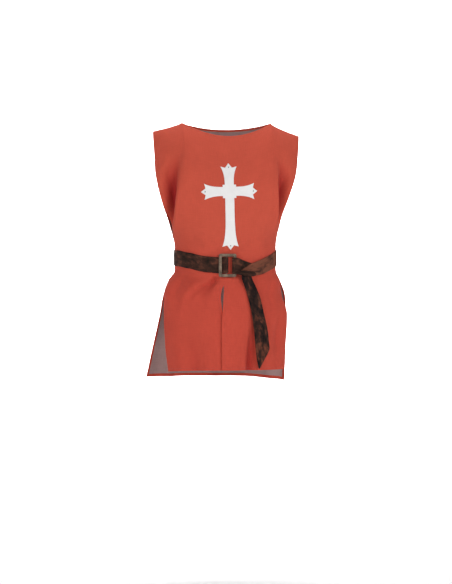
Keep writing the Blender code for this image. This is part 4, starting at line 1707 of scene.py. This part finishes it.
    def build_tab(self, suede: bpy.types.Material) -> bpy.types.Object:
        """The short doubled tab: a strap along a curve round the buckle's right bar.

        Args:
            suede: The finish.

        Returns:
            The tab.
        """
        rows = np.array(self.tab)
        path = spline(np.concatenate([self.turn_at(rows[:, :1]), rows[:, 1:]], axis=1), steps=8)
        line = self.off_waist(path[:, 0], path[:, 1])
        piece = self.strip("suede_tab", *self.on_edge(line, path[:, 2], path[:, 3]), suede)
        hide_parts("belt_tab")
        return piece

    def build_knot(self, suede: bpy.types.Material) -> bpy.types.Object:
        """The knot: an oval carried across the strap's end, with creases along it cut by bells.

        Args:
            suede: The finish.

        Returns:
            The knot.
        """
        x, z, lift, depth, height = spline(self.knot, steps=10).T
        turn = self.turn_at(x)
        centre = self.off_waist(turn, lift)
        centre[:, 2] = z
        angle = ring_angles(self.knot_sides)
        along = np.linspace(0.0, 1.0, len(x))[:, None]
        full = np.ones((len(x), self.knot_sides))
        for crease in self.knot_creases:
            line = crease.start + crease.drift * along
            grown = ease((along - crease.grows_from) / crease.grows_over)
            full -= crease.depth * grown * bell((np.sin(angle) - line) / crease.width)
        push = depth[:, None] * np.cos(angle) * full
        points = centre[:, None] + self.waist_out(turn)[:, None] * push[..., None]
        points[..., 2] += height[:, None] * np.sin(angle)
        flat = points.reshape(-1, 3)
        faces = facing_out(flat, *tube_faces(len(x), self.knot_sides))
        uv = np.stack(np.broadcast_arrays(along * self.knot_map[0], angle * self.knot_map[1]), axis=-1)
        piece = add_piece("suede_knot", flat, faces, [suede], uv.reshape(-1, 2))
        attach(piece, "root")
        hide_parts("belt_knot")
        return piece

    def build_tail(self, suede: bpy.types.Material) -> bpy.types.Object:
        """The hanging end: two edge lines off the skirt, bowed between them, down to its slanting point.

        Args:
            suede: The finish.

        Returns:
            The tail.
        """
        z, left, right, left_lift, right_lift = spline(self.tail, steps=12).T
        low = PLAIN_FORM.points(*PLAIN_FORM.find(left, z))
        high = PLAIN_FORM.points(*PLAIN_FORM.find(right, z))
        low[:, 1] -= left_lift
        high[:, 1] -= right_lift
        bow = self.tail_bow * ease((self.tail_top - z) / self.tail_easing)
        bow = bow * ease((z - self.tail_foot) / self.tail_easing)
        piece = self.strip("suede_tail", low, high, level_side(low - high), suede, curl=bow)
        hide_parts("belt_tail")
        return piece


@dataclass
class Buckle:
    """The rectangular frame with round corners and its middle bar."""

    x: float = -0.0072
    width: float = 0.041
    height: float = 0.054
    bar: float = 0.007
    deep: float = 0.003
    lift: float = 0.0058
    outer_round: float = 0.0045
    inner_round: float = 0.0020
    side_power: float = 0.45
    front_power: float = 0.55
    sides: int = 24
    rod_radius: float = 0.0012
    rod_x: float = -0.0026
    rod_y: float = -0.0008
    rod_rows: int = 12
    rod_sides: int = 16

    @staticmethod
    def outline(width: float, height: float, radius: float, steps: int = 12) -> Array:
        """A rectangle's outline with round corners: quarter circles joined by straight sides.

        Args:
            width: Its width.
            height: Its height.
            radius: Its corners' radius.
            steps: Steps in a corner.

        Returns:
            Points round it.
        """
        corner = np.repeat(np.arange(4), steps + 1)
        angle = np.tile(np.linspace(0.0, math.pi / 2, steps + 1), 4) + corner * math.pi / 2
        sign_x, sign_z = np.array([1, -1, -1, 1])[corner], np.array([1, 1, -1, -1])[corner]
        x = sign_x * (width / 2 - radius) + radius * np.cos(angle)
        return np.stack([x, sign_z * (height / 2 - radius) + radius * np.sin(angle)], axis=-1)

    def build(self, metal: bpy.types.Material) -> bpy.types.Object:
        """The frame: a flat oval section carried round between two outlines, and a round rod.

        Args:
            metal: The finish.

        Returns:
            The buckle.
        """
        centre = Belt.waist(Belt.turn_at(np.array([self.x])))[0]
        outer = self.outline(self.width, self.height, self.outer_round)
        inner = self.outline(self.width - 2 * self.bar, self.height - 2 * self.bar, self.inner_round)
        angle = ring_angles(self.sides)
        side = np.sign(np.cos(angle)) * np.abs(np.cos(angle)) ** self.side_power
        front = np.sign(np.sin(angle)) * np.abs(np.sin(angle)) ** self.front_power
        share = (0.5 + 0.5 * side)[None, :, None]
        ring = np.zeros((len(outer), self.sides, 3))
        ring[..., [0, 2]] = inner[:, None] * (1.0 - share) + outer[:, None] * share
        ring[..., 1] = -self.deep / 2 * (1.0 + front)[None]
        ring = ring.reshape(-1, 3)
        reach = self.height / 2 - self.bar / 2
        height, turn = np.linspace(-reach, reach, self.rod_rows)[:, None], ring_angles(self.rod_sides)
        x, y = self.rod_radius * np.cos(turn) + self.rod_x, self.rod_radius * np.sin(turn) + self.rod_y
        rod = np.stack(np.broadcast_arrays(x, y, height), axis=-1).reshape(-1, 3)
        faces = facing_out(ring, grid_quads(len(outer) + 1, self.sides, rolled=True) % len(ring))
        rod_faces = facing_out(rod, *tube_faces(self.rod_rows, self.rod_sides))
        faces += [group + len(ring) for group in rod_faces]
        points = np.concatenate([ring, rod]) + centre - np.array([0.0, self.lift, 0.0])
        piece = add_piece("bronze_buckle", points, faces, [metal])
        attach(piece, "root")
        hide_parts("buckle")
        return piece


# The floor's height under the garment, and what the lights are aimed at.
FLOOR = -1.083
GARMENT_MIDDLE, WALL_MIDDLE = (0.0, 0.0, -0.32), (0.0, 6.6, -0.10)
LAMPS = (
    Lamp("key", (1.35, -3.1, 0.70), GARMENT_MIDDLE, 1.0, 44.5),
    Lamp("fill", (-1.75, -2.9, 0.65), GARMENT_MIDDLE, 1.2, 26.5),
    Lamp("side_left", (-2.8, -1.3, 0.1), GARMENT_MIDDLE, 0.8, 13.0),
    Lamp("side_right", (2.8, -1.3, 0.1), GARMENT_MIDDLE, 0.8, 13.0),
    Lamp("wall_left", (-2.4, 3.2, 0.4), WALL_MIDDLE, 0.9, 95.0, 80.0),
    Lamp("wall_right", (2.4, 3.2, 0.4), WALL_MIDDLE, 0.9, 95.0, 80.0),
    Lamp("rear", (-2.6, 2.3, 1.1), GARMENT_MIDDLE, 0.8, 16.0),
    Lamp("overhead", (0.0, 1.2, 2.6), (0.0, 1.6, FLOOR), 1.8, 45.0, 110.0),
    Lamp("far_floor", (0.4, 3.3, 1.6), (0.4, 3.3, FLOOR), 1.6, 24.0, 110.0),
)


@dataclass
class Studio:
    """A pale swept floor, soft lights and the camera."""

    floor_front: float = -9.0
    floor_back: float = 5.0
    floor_half: float = 7.0
    bend: float = 1.6
    bend_steps: int = 24
    wall: float = 6.0
    paper: Colour = (0.93, 0.93, 0.93)
    air: float = 0.14
    eye: float = -0.397
    distance: float = 5.5
    azimuth: float = -6.0
    picture_rows: int = 584
    row_size: float = 0.00235
    sensor: float = 36.0
    clip_end: float = 50.0

    def build(self) -> None:
        """Makes the sweep, the lights, the world and the camera."""
        self.sweep()
        for lamp in LAMPS:
            self.light(lamp)
        world = bpy.data.worlds.new("studio_air")
        world.use_nodes = True
        air = world.node_tree.nodes["Background"].inputs
        air["Color"].default_value, air["Strength"].default_value = (1.0, 1.0, 1.0, 1.0), self.air
        bpy.context.scene.world = world
        bpy.context.scene.view_settings.view_transform = "Standard"
        self.camera()

    def sweep(self) -> None:
        """The floor, turned up behind into a wall through a quarter circle."""
        turn = np.linspace(0.0, math.pi / 2, self.bend_steps)
        y = np.concatenate([[self.floor_front], self.floor_back + self.bend * np.sin(turn)])
        y = np.append(y, self.floor_back + self.bend)[:, None]
        z = np.concatenate([[0.0], self.bend * (1.0 - np.cos(turn)), [self.wall]])[:, None] + FLOOR
        x = np.array([-self.floor_half, self.floor_half])
        points = np.stack(np.broadcast_arrays(x, y, z), axis=-1).reshape(-1, 3)
        graph = NodeGraph("pale_paper")
        graph.set(Base_Color=self.paper, Roughness=0.9, Specular_IOR_Level=0.1)
        floor = add_piece("floor", points, [grid_quads(len(y), 2)[:, ::-1]], [graph.material])

    @staticmethod
    def light(lamp: Lamp) -> None:
        """Hangs a light.

        Args:
            lamp: The light.
        """
        light = bpy.data.lights.new(lamp.name, "AREA")
        light.shape, light.size, light.energy = "SQUARE", lamp.size, lamp.power
        light.spread = math.radians(lamp.spread)
        holder = bpy.data.objects.new(lamp.name, light)
        holder.location = lamp.place
        aim = Vector(lamp.target) - Vector(lamp.place)
        holder.rotation_euler = aim.to_track_quat("-Z", "Y").to_euler()
        bpy.context.scene.collection.objects.link(holder)

    def camera(self) -> None:
        """A level camera at the height of the picture's middle."""
        lens = bpy.data.cameras.new("camera")
        lens.sensor_width = self.sensor
        lens.lens = self.sensor * self.distance / (self.picture_rows * self.row_size)
        lens.clip_end = self.clip_end
        holder = bpy.data.objects.new("camera", lens)
        turn = math.radians(self.azimuth)
        holder.location = (self.distance * math.sin(turn), -self.distance * math.cos(turn), self.eye)
        holder.rotation_euler = (math.pi / 2, 0.0, turn)
        bpy.context.scene.collection.objects.link(holder)
        bpy.context.scene.camera = holder


def main() -> None:
    """Builds and dresses every piece in order."""
    logging.basicConfig(level=logging.INFO, format="%(name)s: %(message)s")
    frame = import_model()
    log.info("frame: %d nodes", len(frame["nodes"]))
    # The red cloth, painted darker and redder in its folds and on its skirt: painted shade.
    cloth = WovenCloth(
        "red_cloth",
        colour=(0.550, 0.084, 0.051),
        fold_shade_tint=(0.62, 0.25, 0.40),
        skirt_shade_tint=(0.955, 0.82, 0.86),
    ).material()
    reverse = WovenCloth("mauve_reverse", colour=(0.37, 0.236, 0.226), unevenness=0.14).material()
    felt = Felt("white_felt", colour=(0.81, 0.80, 0.796)).material()
    suede = Suede(
        "brown_suede",
        dark=(0.016, 0.009, 0.006),
        middle=(0.052, 0.021, 0.014),
        pale=(0.185, 0.062, 0.036),
    ).material()
    # The hanging end's suede: a darker copy of the band's, painted shade, with its own blotches of more
    # contrast and a little paler towards its foot.
    hanging_suede_painted_shade = Suede(
        "hanging_suede_painted_shade",
        dark=(0.008, 0.005, 0.005),
        middle=(0.034, 0.015, 0.011),
        pale=(0.170, 0.050, 0.028),
        stops=(0.40, 0.52, 0.68),
        paler_from=0.12,
        paler_over=0.09,
        paler_gain=0.05,
    ).material()
    bronze = AgedMetal(
        "aged_bronze", patina=(0.115, 0.082, 0.060), rubbed=(0.270, 0.195, 0.140), roughness=0.55
    ).material()
    pewter = AgedMetal(
        "dull_pewter", patina=(0.070, 0.068, 0.070), rubbed=(0.190, 0.185, 0.185), roughness=0.5
    ).material()
    thread = Thread("red_thread", colour=(0.440, 0.062, 0.040)).material()

    front = ClothPanel("front_cloth", FRONT_FORM, flat=(0.372, 0.600), flat_area=0.205, slit=SLIT)
    back = ClothPanel("back_cloth", BACK_FORM, flat=(0.380, 0.625), flat_area=0.215)
    front_piece, back_piece = front.build(cloth, reverse), back.build(cloth, reverse)
    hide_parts("front_panel")
    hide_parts("back_panel")
    front_hems, back_hems = front.sew(thread), back.sew(thread)

    cross = SewnCross()
    felt_piece = cross.build(felt)
    studs = cross.stud(pewter)

    belt = Belt()
    belt.build_band(suede)
    belt.build_tab(suede)
    belt.build_knot(suede)
    belt.build_tail(hanging_suede_painted_shade)
    Buckle().build(bronze)

    Studio().build()


if __name__ == "__main__":
    main()
